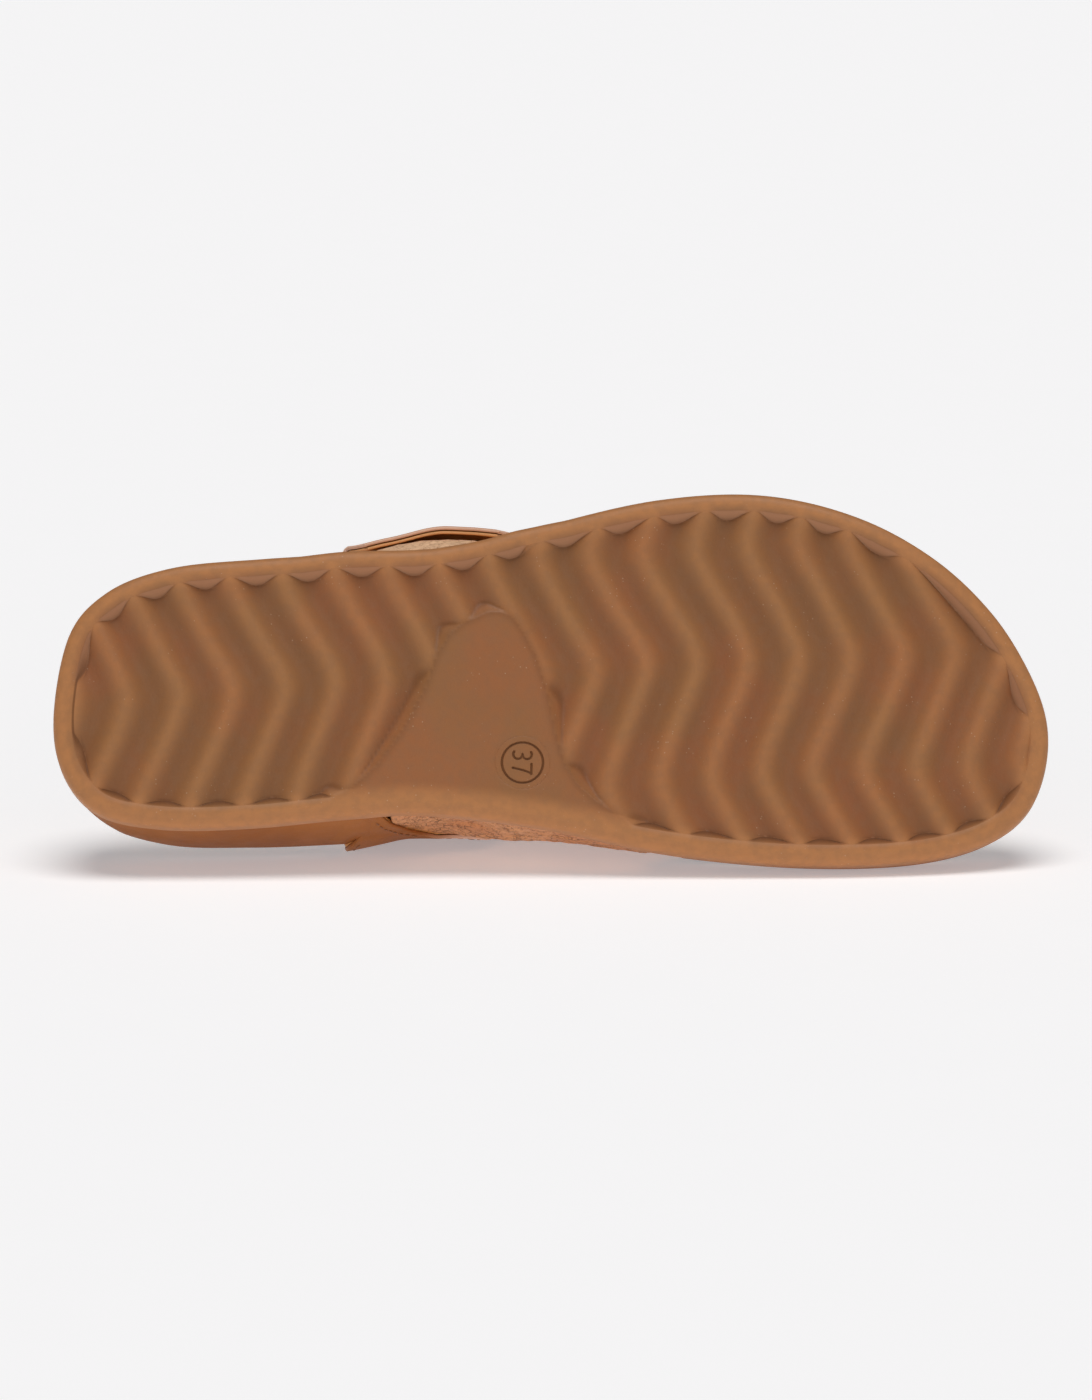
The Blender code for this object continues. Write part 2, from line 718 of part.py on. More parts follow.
def main():
    """Builds the sandal standing, then lays it down."""
    for old in list(bpy.data.objects):
        bpy.data.objects.remove(old)
    pieces = [
        add_piece("outsole", outsole_mesh(), "gum_rubber"),
        add_piece("midsole", midsole_mesh(), "wrap_leather"),
        add_piece("insole", insole_mesh(), "insole_leather"),
        add_piece(
            "upper",
            strap_mesh("upper", UPPER_EDGES, UPPER_COLUMNS, upper_lift),
            "crackle_leather",
            UPPER_WALL,
        ),
        add_piece(
            "instep_strap",
            strap_mesh("instep_strap", STRAP_EDGES, STRAP_COLUMNS, strap_lift),
            "strap_leather",
            STRAP_WALL,
        ),
        add_piece("toe_post", toe_post_mesh(), "post_leather"),
    ]
    group = bpy.data.collections.new("toe_post_sandal")
    bpy.context.scene.collection.children.link(group)
    for piece in pieces:
        group.objects.link(piece)
    bpy.context.view_layer.update()
    lay_down(pieces)
    bpy.context.view_layer.update()


main()
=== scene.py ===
"""Toe post sandal for a right foot, empty and lying on its inner side: its look, floor and light.

Every piece is worked out in the standing shoe's own sizes, with X from heel to toe, Y towards the
inner (big toe) side and Z up from the ground, and then laid down by Pose into the shared frame.
"""

import logging
import math
from collections.abc import Callable, Sequence
from dataclasses import dataclass, field
from enum import Enum

import bmesh
import bpy
import numpy as np
from mathutils import Matrix, Vector


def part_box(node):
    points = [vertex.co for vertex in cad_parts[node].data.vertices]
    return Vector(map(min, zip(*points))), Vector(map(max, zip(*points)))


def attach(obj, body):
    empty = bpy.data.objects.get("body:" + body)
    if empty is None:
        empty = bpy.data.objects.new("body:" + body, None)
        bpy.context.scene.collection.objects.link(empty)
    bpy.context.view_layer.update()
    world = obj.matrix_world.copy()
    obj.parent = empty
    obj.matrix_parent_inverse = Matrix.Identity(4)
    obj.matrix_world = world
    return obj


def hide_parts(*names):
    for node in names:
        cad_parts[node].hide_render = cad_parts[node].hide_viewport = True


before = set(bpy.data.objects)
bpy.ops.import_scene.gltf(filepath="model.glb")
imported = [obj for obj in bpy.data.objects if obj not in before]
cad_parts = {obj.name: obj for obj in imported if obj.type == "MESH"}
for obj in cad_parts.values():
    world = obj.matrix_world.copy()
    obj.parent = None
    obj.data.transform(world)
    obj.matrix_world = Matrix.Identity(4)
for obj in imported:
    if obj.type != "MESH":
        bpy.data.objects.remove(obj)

LOG = logging.getLogger("toe_post_sandal")

Array = np.ndarray
Table = Sequence[Sequence[float]]
Colour = tuple[float, float, float]
Lift = Callable[[Array, Array], Array]
Socket = bpy.types.NodeSocket
Value = Socket | float

# Driving sizes of the shoe, in metres, as the solids have them.
LENGTH = 0.253
BALL_WIDTH = 0.096
OUTSOLE_SIDE = 0.0070
RIM_WIDTH = 0.0048
TOE_SPRING = 0.0070
TOE_SPRING_START = 0.76
HEEL_BEVEL = 0.0022
HEEL_BEVEL_END = 0.07
TREAD_DEPTH = 0.0026
TREAD_WALL_RUN = 0.0021
PLATEAU_TONE = 0.54
INSOLE_THICKNESS = 0.0025
INSOLE_MARGIN = 0.0022
SIDE_INSET = 0.0006
EDGE_HEIGHT = 0.0370
DISH_POWER = 2.2
FIT_GAP = 0.0003
UPPER_WALL = 0.0020
UPPER_GAP = 0.0005
STRAP_WALL = 0.0020
STRAP_GAP = 0.0005
STRAP_STAND_OFF = 0.0026
STRAP_FLARE = 0.0006
INSTEP_HEIGHT = 0.0500
OUTER_BULGE = 0.0110
BASE_LIFT = 0.0009
# Shares of LENGTH between which the spine of the sole runs.
SPINE_ENDS = (0.13, 0.86)

# Outline of the outsole: share of LENGTH, then inner and outer side as shares of BALL_WIDTH.
OUTLINE: Table = (
    (0.000, 0.077, 0.077),
    (0.012, 0.234, -0.139),
    (0.045, 0.336, -0.249),
    (0.110, 0.374, -0.326),
    (0.200, 0.364, -0.360),
    (0.300, 0.330, -0.385),
    (0.360, 0.314, -0.398),
    (0.420, 0.320, -0.420),
    (0.500, 0.342, -0.490),
    (0.600, 0.390, -0.560),
    (0.700, 0.415, -0.583),
    (0.800, 0.414, -0.533),
    (0.880, 0.387, -0.430),
    (0.940, 0.331, -0.292),
    (0.980, 0.242, -0.135),
    (1.000, 0.051, 0.051),
)

# How far the rim stands out further along the waist's outer side: share of LENGTH, metres.
RIM_FLARE: Table = (
    (0.24, 0.0000),
    (0.29, 0.0007),
    (0.37, 0.0003),
    (0.40, 0.0008),
    (0.45, 0.0012),
    (0.48, 0.0005),
    (0.51, 0.0000),
    (0.54, 0.0000),
)

# Footbed height as shares of EDGE_HEIGHT: share of LENGTH, inner edge, outer edge, middle.
FOOTBED: Table = (
    (0.00, 0.81, 0.81, 0.57),
    (0.10, 0.83, 0.79, 0.57),
    (0.20, 0.87, 0.77, 0.57),
    (0.30, 0.96, 0.74, 0.58),
    (0.38, 1.00, 0.71, 0.59),
    (0.45, 0.91, 0.67, 0.56),
    (0.52, 0.74, 0.61, 0.51),
    (0.60, 0.58, 0.55, 0.46),
    (0.72, 0.51, 0.50, 0.43),
    (0.84, 0.54, 0.54, 0.48),
    (0.93, 0.61, 0.61, 0.55),
    (1.00, 0.69, 0.69, 0.63),
)

# Footbed edge inside the outsole, in shares of SIDE_INSET: share of LENGTH, inner, outer.
TOP_INSET: Table = (
    (0.00, 3.0, 3.0),
    (0.03, 4.6, 2.0),
    (0.07, 2.6, 1.0),
    (0.12, 0.6, 0.6),
    (0.20, -0.5, 0.0),
    (0.26, -1.4, -0.6),
    (0.31, -1.6, -1.0),
    (0.38, -0.6, -1.3),
    (0.44, 1.0, -0.8),
    (0.50, 2.6, 0.8),
    (0.56, 3.6, 2.0),
    (0.62, 4.2, 3.0),
    (0.80, 3.5, 3.5),
    (1.00, 3.0, 3.0),
)

# Plateau under the arch: share of LENGTH, share of BALL_WIDTH, closed beyond the inner edge.
PLATEAU: Table = (
    (0.283, 0.450),
    (0.283, 0.281),
    (0.300, 0.261),
    (0.324, 0.200),
    (0.343, 0.128),
    (0.359, 0.053),
    (0.371, -0.016),
    (0.381, -0.104),
    (0.394, -0.170),
    (0.409, -0.201),
    (0.433, -0.233),
    (0.446, -0.232),
    (0.457, -0.217),
    (0.467, -0.182),
    (0.480, -0.121),
    (0.491, -0.041),
    (0.498, 0.027),
    (0.505, 0.107),
    (0.514, 0.174),
    (0.527, 0.227),
    (0.545, 0.268),
    (0.566, 0.304),
    (0.592, 0.347),
    (0.592, 0.450),
)

# Recess in the midsole's side for the upper, as shares of the upper's wall: share, inner, outer.
RECESS: Table = (
    (0.262, 0.0, 0.0),
    (0.282, 0.0, 1.0),
    (0.300, 0.0, 1.0),
    (0.320, 1.1, 1.0),
    (0.350, 1.3, 1.0),
    (0.390, 1.8, 1.0),
    (0.430, 1.7, 1.0),
    (0.476, 1.0, 1.0),
    (0.498, 1.0, 0.0),
    (0.608, 1.0, 0.0),
    (0.632, 0.0, 0.0),
)
RECESS_LEAN = 0.030
# The wrap's own recess starts later on the inner side, under the strap's wing.
WRAP_RECESS: Table = (*RECESS[:3], (0.318, 0.0, 1.0), (0.336, 1.2, 1.0), *RECESS[5:])

# Section of the last over the footbed: share of the way round, place across, height.
SIDE_SHARE = 0.12
ARCH: Table = (
    (0.12, 1.00, 0.00),
    (0.20, 0.86, 0.24),
    (0.27, 0.70, 0.48),
    (0.34, 0.51, 0.72),
    (0.41, 0.24, 0.92),
    (0.48, -0.08, 1.00),
    (0.56, -0.42, 0.98),
    (0.65, -0.76, 0.82),
    (0.73, -0.97, 0.56),
    (0.80, -1.04, 0.30),
    (0.88, -1.00, 0.00),
)

# Outward bulge of the outer side: share of the way round, share of OUTER_BULGE.
BULGE: Table = (
    (0.50, 0.00),
    (0.60, 0.15),
    (0.70, 0.65),
    (0.78, 1.00),
    (0.84, 0.90),
    (0.88, 0.70),
    (0.94, 0.25),
    (1.00, 0.00),
)

# Along the shoe: share of LENGTH, arch height, share of the bulge, lean of the section.
INSTEP: Table = (
    (0.25, 1.04, 0.00, 1.00),
    (0.29, 1.03, 0.25, 1.00),
    (0.33, 1.02, 0.60, 1.00),
    (0.37, 0.99, 0.68, 1.00),
    (0.41, 0.93, 0.54, 1.00),
    (0.46, 0.84, 0.16, 0.90),
    (0.50, 0.76, 0.05, 0.70),
    (0.56, 0.64, 0.00, 0.40),
    (0.66, 0.50, 0.00, 0.30),
    (0.80, 0.40, 0.00, 0.30),
)

# Edges of the upper: share of the way round, rear edge and front edge as shares of LENGTH.
UPPER_EDGES: Table = (
    (0.00, 0.328, 0.600),
    (0.12, 0.303, 0.602),
    (0.22, 0.325, 0.630),
    (0.30, 0.380, 0.680),
    (0.345, 0.412, 0.735),
    (0.367, 0.428, 0.759),
    (0.390, 0.440, 0.768),
    (0.413, 0.447, 0.757),
    (0.440, 0.450, 0.722),
    (0.52, 0.438, 0.640),
    (0.66, 0.375, 0.548),
    (0.80, 0.312, 0.492),
    (0.88, 0.296, 0.474),
    (1.00, 0.296, 0.464),
)

# Edges of the instep strap, from its seam on the inner side to its loose outer end.
STRAP_EDGES: Table = (
    (0.015, 0.325, 0.331),
    (0.035, 0.320, 0.337),
    (0.06, 0.312, 0.3455),
    (0.09, 0.302, 0.359),
    (0.112, 0.293, 0.379),
    (0.13, 0.2895, 0.404),
    (0.16, 0.298, 0.431),
    (0.21, 0.296, 0.447),
    (0.30, 0.291, 0.462),
    (0.50, 0.298, 0.474),
    (0.70, 0.290, 0.470),
    (0.79, 0.284, 0.464),
    (0.815, 0.288, 0.461),
    (0.832, 0.297, 0.453),
    (0.842, 0.312, 0.439),
)

# Swell of the upper under the strap's loose end: share of LENGTH, metres.
SWELL: Table = (
    (0.270, 0.0000),
    (0.300, 0.0014),
    (0.330, 0.0014),
    (0.370, 0.0015),
    (0.400, 0.0016),
    (0.440, 0.0015),
    (0.470, 0.0009),
    (0.500, 0.0000),
)

# Edges of the upper's skin, whose rear edge starts under the strap's wing on the inner side.
SKIN_EDGES: Table = (
    (0.00, 0.340, 0.600), (0.12, 0.340, 0.602), (0.18, 0.342, 0.620), *UPPER_EDGES[2:],
)

# Creases of the upper: share of LENGTH, share of the way round, length and width in millimetres,
# turn in degrees from the long axis, depth in millimetres.
CREASES: Table = (
    (0.42, 0.060, 22.0, 1.3, 8.0, 0.45),
    (0.47, 0.085, 18.0, 1.1, -12.0, 0.40),
    (0.52, 0.050, 20.0, 1.4, 15.0, 0.45),
    (0.39, 0.100, 12.0, 1.0, 28.0, 0.35),
    (0.56, 0.090, 14.0, 1.2, -20.0, 0.35),
    (0.370, 0.878, 13.0, 0.8, -33.0, 1.10),
    (0.405, 0.868, 9.0, 0.8, -8.0, 0.80),
    (0.345, 0.885, 7.0, 0.8, -20.0, 0.60),
    (0.35, 0.925, 20.0, 1.2, 10.0, 0.45),
    (0.42, 0.940, 16.0, 1.1, -14.0, 0.40),
    (0.48, 0.300, 26.0, 2.2, 55.0, 0.55),
    (0.55, 0.330, 22.0, 2.0, 40.0, 0.45),
    (0.46, 0.640, 24.0, 2.2, -50.0, 0.55),
    (0.60, 0.400, 18.0, 1.8, 12.0, 0.40),
    (0.50, 0.500, 20.0, 2.0, 80.0, 0.40),
)
# Length of the way round the last, in metres.
ROUND_WAY = 0.190

# Droop of the strap's loose end: metres, share of LENGTH where it starts, run along the shoe.
DROOP: Table = ((0.0014, 0.430, 0.050), (-0.0009, 0.312, -0.020), (0.0014, 0.298, -0.014))
# The same as one hump: metres, its middle, half its length.
DROOP_HUMP = (0.0013, 0.337, 0.050)
# How far the strap sinks towards its seam: metres, share of the way round, run.
SINK: Table = ((0.0015, 0.118, -0.045), (0.0011, 0.20, -0.06), (0.0009, 0.055, -0.040))

# Rings over a valley's end wall, from the floor to the rim: on the wall (1) or before it (0), part
# of the way, painted shade line where it faces down, painted shade where it faces up, painted
# light on the pale wall where it faces down, painted shade line between rim and heel ridge.
END_WALL: Table = (
    (0, 0.75, 0.00, 0.00, 0.0, 0.00),
    (0, 0.50, 0.00, 0.00, 0.0, 0.00),
    (0, 0.28, 0.08, 0.05, 0.0, 0.00),
    (0, 0.12, 0.28, 0.20, 0.0, 0.00),
    (0, 0.03, 0.50, 0.50, 0.0, 0.20),
    (1, 1.00, 0.55, 0.80, 0.4, 0.60),
    (1, 0.97, 0.42, 0.80, 1.0, 0.66),
    (1, 0.70, 0.10, 0.62, 1.0, 0.66),
    (1, 0.40, 0.02, 0.40, 1.0, 0.60),
    (1, 0.15, 0.06, 0.20, 1.0, 0.35),
    (1, 0.03, 0.22, 0.08, 0.7, 0.10),
    (1, 0.00, 0.12, 0.00, 0.2, 0.00),
)


def smooth_step(value: Array) -> Array:
    """Eased ramp from 0 to 1."""
    value = np.clip(value, 0.0, 1.0)
    return value * value * (3.0 - 2.0 * value)


def curve_through(knots: Array, values: Array, at: Array, steady: bool = False) -> Array:
    """Smooth curve through values at rising knots.

    Args:
        knots: Places of the values, rising.
        values: Values at the knots.
        at: Places to read.
        steady: Whether the curve stays between the two values it runs between.

    Returns:
        The values at the places in at.
    """
    knots = np.asarray(knots, float)
    values = np.asarray(values, float)
    at = np.clip(np.asarray(at, float), knots[0], knots[-1])
    slopes = np.gradient(values, knots)
    if steady:
        secants = np.diff(values) / np.diff(knots)
        before, after = np.append(secants[0], secants), np.append(secants, secants[-1])
        limit = 3.0 * np.minimum(np.abs(before), np.abs(after)) * (before * after > 0)
        slopes = np.clip(slopes, -limit, limit)
    left = np.clip(np.searchsorted(knots, at, side="right") - 1, 0, len(knots) - 2)
    width = knots[left + 1] - knots[left]
    t = (at - knots[left]) / width
    return (
        (1 + 2 * t) * (1 - t) ** 2 * values[left]
        + t * (1 - t) ** 2 * width * slopes[left]
        + t * t * (3 - 2 * t) * values[left + 1]
        + t * t * (t - 1) * width * slopes[left + 1]
    )


def read_table(table: Table, column: int, share: Array, steady: bool = False) -> Array:
    """One column of a table as a smooth function of its first column."""
    rows = np.array(table, float)
    return curve_through(rows[:, 0], rows[:, column], share, steady)


def outline_side(share: Array, inner: bool) -> Array:
    """Distance of the outline from the long axis, smooth round heel and toe.

    Args:
        share: Places along the shoe, as shares of LENGTH.
        inner: Whether the inner side is read.

    Returns:
        Y of the outline at each place.
    """
    rows = np.array(OUTLINE, float)
    angles = np.arccos(1.0 - 2.0 * rows[:, 0])
    own, other = (rows[:, 1], rows[:, 2]) if inner else (rows[:, 2], rows[:, 1])
    knots = np.concatenate([-angles[2:0:-1], angles, 2 * math.pi - angles[-2:-4:-1]])
    values = np.concatenate([other[2:0:-1], own, other[-2:-4:-1]])
    at = np.arccos(np.clip(1.0 - 2.0 * np.asarray(share, float), -1.0, 1.0))
    return BALL_WIDTH * curve_through(knots, values, at)


def rocker(share: Array) -> Array:
    """Height of the walking surface: heel bevel, flat, toe spring.

    Args:
        share: Places along the shoe, as shares of LENGTH.

    Returns:
        Height at each place.
    """
    heel = HEEL_BEVEL * np.clip((HEEL_BEVEL_END - share) / HEEL_BEVEL_END, 0.0, 1.0) ** 2
    ahead = (share - TOE_SPRING_START) / (1.0 - TOE_SPRING_START)
    return heel + TOE_SPRING * np.clip(ahead, 0.0, 1.0) ** 1.8


def joint_height(share: Array) -> Array:
    """Height of the outsole's top."""
    return rocker(share) + OUTSOLE_SIDE


def by_side(table: Table, share: Array, inner: Array) -> Array:
    """A table's first value on the inner side and its second on the outer."""
    return np.where(inner, read_table(table, 1, share), read_table(table, 2, share))


def edge_height(share: Array, inner: Array) -> Array:
    """Height of the footbed's edge on either side."""
    return EDGE_HEIGHT * by_side(FOOTBED, share, inner)


def side_inset(share: Array, inner: Array, up: Array, wrap: bool = False) -> Array:
    """How far the midsole's side stands inside the outsole.

    Args:
        share: Places along the shoe, as shares of LENGTH.
        inner: Whether each place is on the inner side.
        up: Way up the side, from its foot (0) to its edge (1).
        wrap: Whether the wrap's own recess is read.

    Returns:
        Distance inside the outline at each place.
    """
    recess, lean = (WRAP_RECESS, 0.0) if wrap else (RECESS, RECESS_LEAN)
    leaned = share + lean * up * smooth_step((0.50 - share) / 0.10)
    inner_cut, outer_cut = read_table(recess, 1, leaned, True), read_table(recess, 2, share, True)
    cut = np.where(inner, inner_cut, outer_cut) * (UPPER_WALL + UPPER_GAP)
    top = SIDE_INSET * by_side(TOP_INSET, share, inner)
    return SIDE_INSET + (top - SIDE_INSET) * up + cut


class Outline:
    """The outline as a closed loop: up the inner side, round the toe, back down the outer side."""

    def __init__(self, count: int) -> None:
        """Works the loop out.

        Args:
            count: Stations along each side.
        """
        share = (1.0 - np.cos(np.linspace(0.0, math.pi, 4001))) / 2.0
        travelled = np.zeros(len(share))
        for inner in (True, False):
            steps = np.hypot(np.diff(share * LENGTH), np.diff(outline_side(share, inner)))
            travelled += np.concatenate([[0.0], np.cumsum(steps)])
        stations = np.interp(np.linspace(0.0, travelled[-1], count + 1), travelled, share)
        self.share = np.concatenate([stations, stations[-2:0:-1]])
        self.inner = np.arange(len(self.share)) <= count
        across = np.where(
            self.inner, outline_side(self.share, True), outline_side(self.share, False)
        )
        self.points = np.stack([self.share * LENGTH, across], axis=1)
        along = np.roll(self.points, -1, axis=0) - np.roll(self.points, 1, axis=0)
        along /= np.linalg.norm(along, axis=1)[:, None]
        self.inward = np.stack([along[:, 1], -along[:, 0]], axis=1)
        self.spine_share = np.clip(self.share, *SPINE_ENDS)
        middle = outline_side(self.spine_share, True) + outline_side(self.spine_share, False)
        self.spine = np.stack([self.spine_share * LENGTH, middle / 2], axis=1)

    def inset(self, distance: Array | float) -> Array:
        """The loop moved inwards."""
        return self.points + self.inward * np.reshape(distance, (-1, 1))

    def towards_spine(self, ring: Array, part: float) -> Array:
        """The ring drawn towards the spine, which part 1 reaches."""
        return ring + (self.spine - ring) * part


def with_height(ring: Array, height: Array | float) -> Array:
    """Adds heights to a flat ring."""
    return np.column_stack([ring, np.broadcast_to(height, len(ring))])


def distance_to_line(points: Array, line: Array) -> Array:
    """Distance of each point from a polyline.

    Args:
        points: Points in the plane.
        line: Corners of the line, in order.

    Returns:
        The nearest distance for each point.
    """
    start, step = line[:-1], np.diff(line, axis=0)
    length = np.maximum(np.sum(step * step, axis=1), 1e-18)
    nearest = np.full(len(points), 1e9)
    for origin, run, square in zip(start, step, length):
        offset = points - origin
        share = np.clip(offset @ run / square, 0.0, 1.0)
        nearest = np.minimum(nearest, np.hypot(*(offset - share[:, None] * run).T))
    return nearest


def inside_polygon(points: Array, polygon: Array) -> Array:
    """Whether each point lies inside a closed polygon.

    Args:
        points: Points in the plane.
        polygon: Its corners, in order.

    Returns:
        True for each point inside.
    """
    inside = np.zeros(len(points), bool)
    for (x0, y0), (x1, y1) in zip(polygon, np.roll(polygon, -1, axis=0)):
        spans = (y0 > points[:, 1]) != (y1 > points[:, 1])
        crossing = x0 + (points[:, 1] - y0) * (x1 - x0) / (y1 - y0 if y1 != y0 else 1.0)
        inside ^= spans & (points[:, 0] < crossing)
    return inside


@dataclass(frozen=True)
class Pose:
    """How the shoe lies: the floor's direction in the shoe, and the shoe's origin in the frame."""

    down: tuple[float, float, float] = (0.038924, 0.922689, 0.383574)
    origin: tuple[float, float, float] = (-0.126033, -0.034065, 0.048681)

    def matrix(self) -> Array:
        """Rotation from the standing shoe to the shared frame.

        Returns:
            Its three rows.
        """
        down = np.array(self.down) / np.linalg.norm(self.down)
        ahead = np.array([1.0, 0.0, 0.0]) - down * down[0]
        ahead /= np.linalg.norm(ahead)
        return np.array([ahead, np.cross(-down, ahead), -down])

    def place(self, points: Array) -> Array:
        """Standing points laid down into the shared frame."""
        return points @ self.matrix().T + np.array(self.origin)


POSE = Pose()


class Slot(Enum):
    """Material slots of the record."""

    RUBBER = "gum_rubber"
    WRAP = "wrap_leather"
    INSOLE = "insole_leather"
    CRACKLE = "crackle_leather"
    STRAP = "strap_leather"
    POST = "post_leather"


class Graph:
    """A material's node tree, with short ways to add and link nodes."""

    def __init__(self, name: str) -> None:
        """Starts an empty material.

        Args:
            name: Name of the material.
        """
        self.material = bpy.data.materials.new(name)
        self.material.use_nodes = True
        self.tree = self.material.node_tree
        self.shader = self.tree.nodes["Principled BSDF"]
        self.coordinates = self.tree.nodes.new("ShaderNodeTexCoord").outputs["Object"]

    def add(
        self, kind: str, links: dict[str | int, object] | None = None, **settings: object
    ) -> bpy.types.Node:
        """Adds a node.

        Args:
            kind: Type of the node.
            links: Sockets or values for its inputs, by name or number.
            **settings: Values of its own settings.

        Returns:
            The node.
        """
        node = self.tree.nodes.new(kind)
        for key, value in settings.items():
            setattr(node, key, value)
        for key, value in (links or {}).items():
            if isinstance(value, Socket):
                self.tree.links.new(value, node.inputs[key])
            else:
                node.inputs[key].default_value = value
        return node

    def noise(
        self, scale: float, detail: float = 3.0, distortion: float = 0.0, output: str = "Fac"
    ) -> Socket:
        """Noise read in object space.

        Args:
            scale: Its features are about 1 / scale metres.
            detail: Octaves of finer noise in it.
            distortion: How far it is bent.
            output: Which result is read.

        Returns:
            The result.
        """
        links = {
            "Vector": self.coordinates, "Scale": scale, "Detail": detail, "Distortion": distortion,
        }
        return self.add("ShaderNodeTexNoise", links).outputs[output]

    def cells(self, scale: float, place: Socket | None = None, edges: bool = True) -> Socket:
        """A net of cells.

        Args:
            scale: Its cells are about 1 / scale metres.
            place: Coordinates, or None for those of the object.
            edges: Whether the distance is from the cells' edges and not from their middles.

        Returns:
            The distance.
        """
        links = {"Vector": self.coordinates if place is None else place, "Scale": scale}
        feature = "DISTANCE_TO_EDGE" if edges else "F1"
        return self.add("ShaderNodeTexVoronoi", links, feature=feature).outputs["Distance"]

    def ramp(self, value: Value, low: float, high: float) -> Socket:
        """Ramp of a value from 0 at low to 1 at high."""
        links = {"Value": value, "From Min": low, "From Max": high}
        return self.add("ShaderNodeMapRange", links, interpolation_type="SMOOTHSTEP").outputs[0]

    def cloud(self, scale: float, low: float, high: float, detail: float = 3.0) -> Socket:
        """Noise with its contrast raised."""
        return self.ramp(self.noise(scale, detail), low, high)

    def math(self, operation: str, first: Value, second: Value) -> Socket:
        """One step of arithmetic."""
        return self.add("ShaderNodeMath", {0: first, 1: second}, operation=operation).outputs[0]

    def times(self, first: Value, second: Value) -> Socket:
        """Product of two values."""
        return self.math("MULTIPLY", first, second)

    def invert(self, value: Value) -> Socket:
        """One minus a value."""
        return self.math("SUBTRACT", 1.0, value)

    def mix(self, factor: Value, first: Socket | Colour, second: Socket | Colour) -> Socket:
        """Mix of two colours.

        Args:
            factor: Part of the second colour.
            first: First colour.
            second: Second colour.

        Returns:
            The mixed colour.
        """
        first, second = (
            (*colour, 1.0) if isinstance(colour, tuple) else colour for colour in (first, second)
        )
        links = {0: factor, 6: first, 7: second}
        return self.add("ShaderNodeMix", links, data_type="RGBA").outputs[2]

    def attribute(self, name: str) -> Socket:
        """A mesh attribute as a number."""
        return self.add("ShaderNodeAttribute", attribute_name=name).outputs["Fac"]

    def roughness(self, scale: float, spread: float, base: float) -> Socket:
        """Roughness that wanders up from its base by the spread."""
        return self.math("ADD", self.times(self.cloud(scale, 0.2, 0.9), spread), base)

    def bump(
        self, height: Value, strength: float, distance: float, normal: Socket | None = None
    ) -> Socket:
        """Bump from a height.

        Args:
            height: The height.
            strength: Share of the bump that shows.
            distance: Metres that a height of 1 stands for.
            normal: Another bump, or None.

        Returns:
            The bumped normal.
        """
        links = {"Height": height, "Strength": strength, "Distance": distance}
        if normal is not None:
            links["Normal"] = normal
        return self.add("ShaderNodeBump", links).outputs["Normal"]

    def finish(
        self, colour: Socket, roughness: Socket, normal: Socket, specular: float = 0.4
    ) -> bpy.types.Material:
        """Joins the results to the shader.

        Args:
            colour: Base colour.
            roughness: Roughness.
            normal: Normal.
            specular: Strength of the mirror part.

        Returns:
            The material.
        """
        self.tree.links.new(colour, self.shader.inputs["Base Color"])
        self.tree.links.new(roughness, self.shader.inputs["Roughness"])
        self.tree.links.new(normal, self.shader.inputs["Normal"])
        self.shader.inputs["Specular IOR Level"].default_value = specular
        return self.material


@dataclass(frozen=True)
class RubberFinish:
    """Moulded gum rubber, warmer where thin or high; painted shade dulls and browns the tread."""

    name: str
    # Ridge and valley colours by depth: the valleys' darkness is painted shade.
    ridge: Colour = (0.420, 0.176, 0.062)
    valley: Colour = (0.265, 0.102, 0.037)
    rim: Colour = (0.488, 0.210, 0.078)
    # Painted light: colour of the end walls that face down.
    wall: Colour = (0.480, 0.240, 0.130)
    # Painted shade: colour of shade lines, up-facing end walls, the joint and the size mark's
    # lines.
    cut: Colour = (0.105, 0.034, 0.008)
    green: Colour = (0.205, 0.130, 0.060)
    red: Colour = (0.360, 0.115, 0.055)
    fine: Colour = (0.250, 0.130, 0.066)
    dust: Colour = (0.62, 0.45, 0.30)
    tint: float = 0.22
    fine_amount: float = 0.24
    dust_amount: float = 0.42
    wall_light_amount: float = 0.75
    shine: float = 0.22

    def build(self) -> bpy.types.Material:
        """Makes the material.

        Returns:
            The material.
        """
        graph = Graph(self.name)
        # Painted shade: the tread darker the deeper it lies.
        tread = graph.mix(graph.attribute("relief"), self.ridge, self.valley)
        green = graph.mix(self.tint, tread, self.green)
        red = graph.mix(self.tint, tread, self.red)
        tread = graph.mix(graph.cloud(38.0, 0.35, 0.65, 2.0), green, red)
        colour = graph.mix(graph.attribute("rim"), tread, self.rim)
        fine = graph.times(graph.cloud(420.0, 0.34, 0.70, 5.0), self.fine_amount)
        colour = graph.mix(fine, colour, self.fine)
        specks = graph.invert(graph.ramp(graph.cells(620.0, edges=False), 0.07, 0.13))
        dust = graph.times(specks, graph.cloud(75.0, 0.48, 0.66, 2.0))
        colour = graph.mix(graph.times(dust, self.dust_amount), colour, self.dust)
        # Painted light: the end walls that face down made paler.
        blush = graph.times(graph.attribute("blush"), self.wall_light_amount)
        colour = graph.mix(blush, colour, self.wall)
        # Painted shade: lines, end walls that face up, the joint and the size mark's lines.
        colour = graph.mix(graph.attribute("cut"), colour, self.cut)
        normal = graph.bump(graph.noise(1500.0), 0.22, 0.0003)
        normal = graph.bump(graph.noise(120.0, 2.0), 0.10, 0.0010, normal)
        return graph.finish(colour, graph.roughness(90.0, 0.16, 0.42), normal, self.shine)


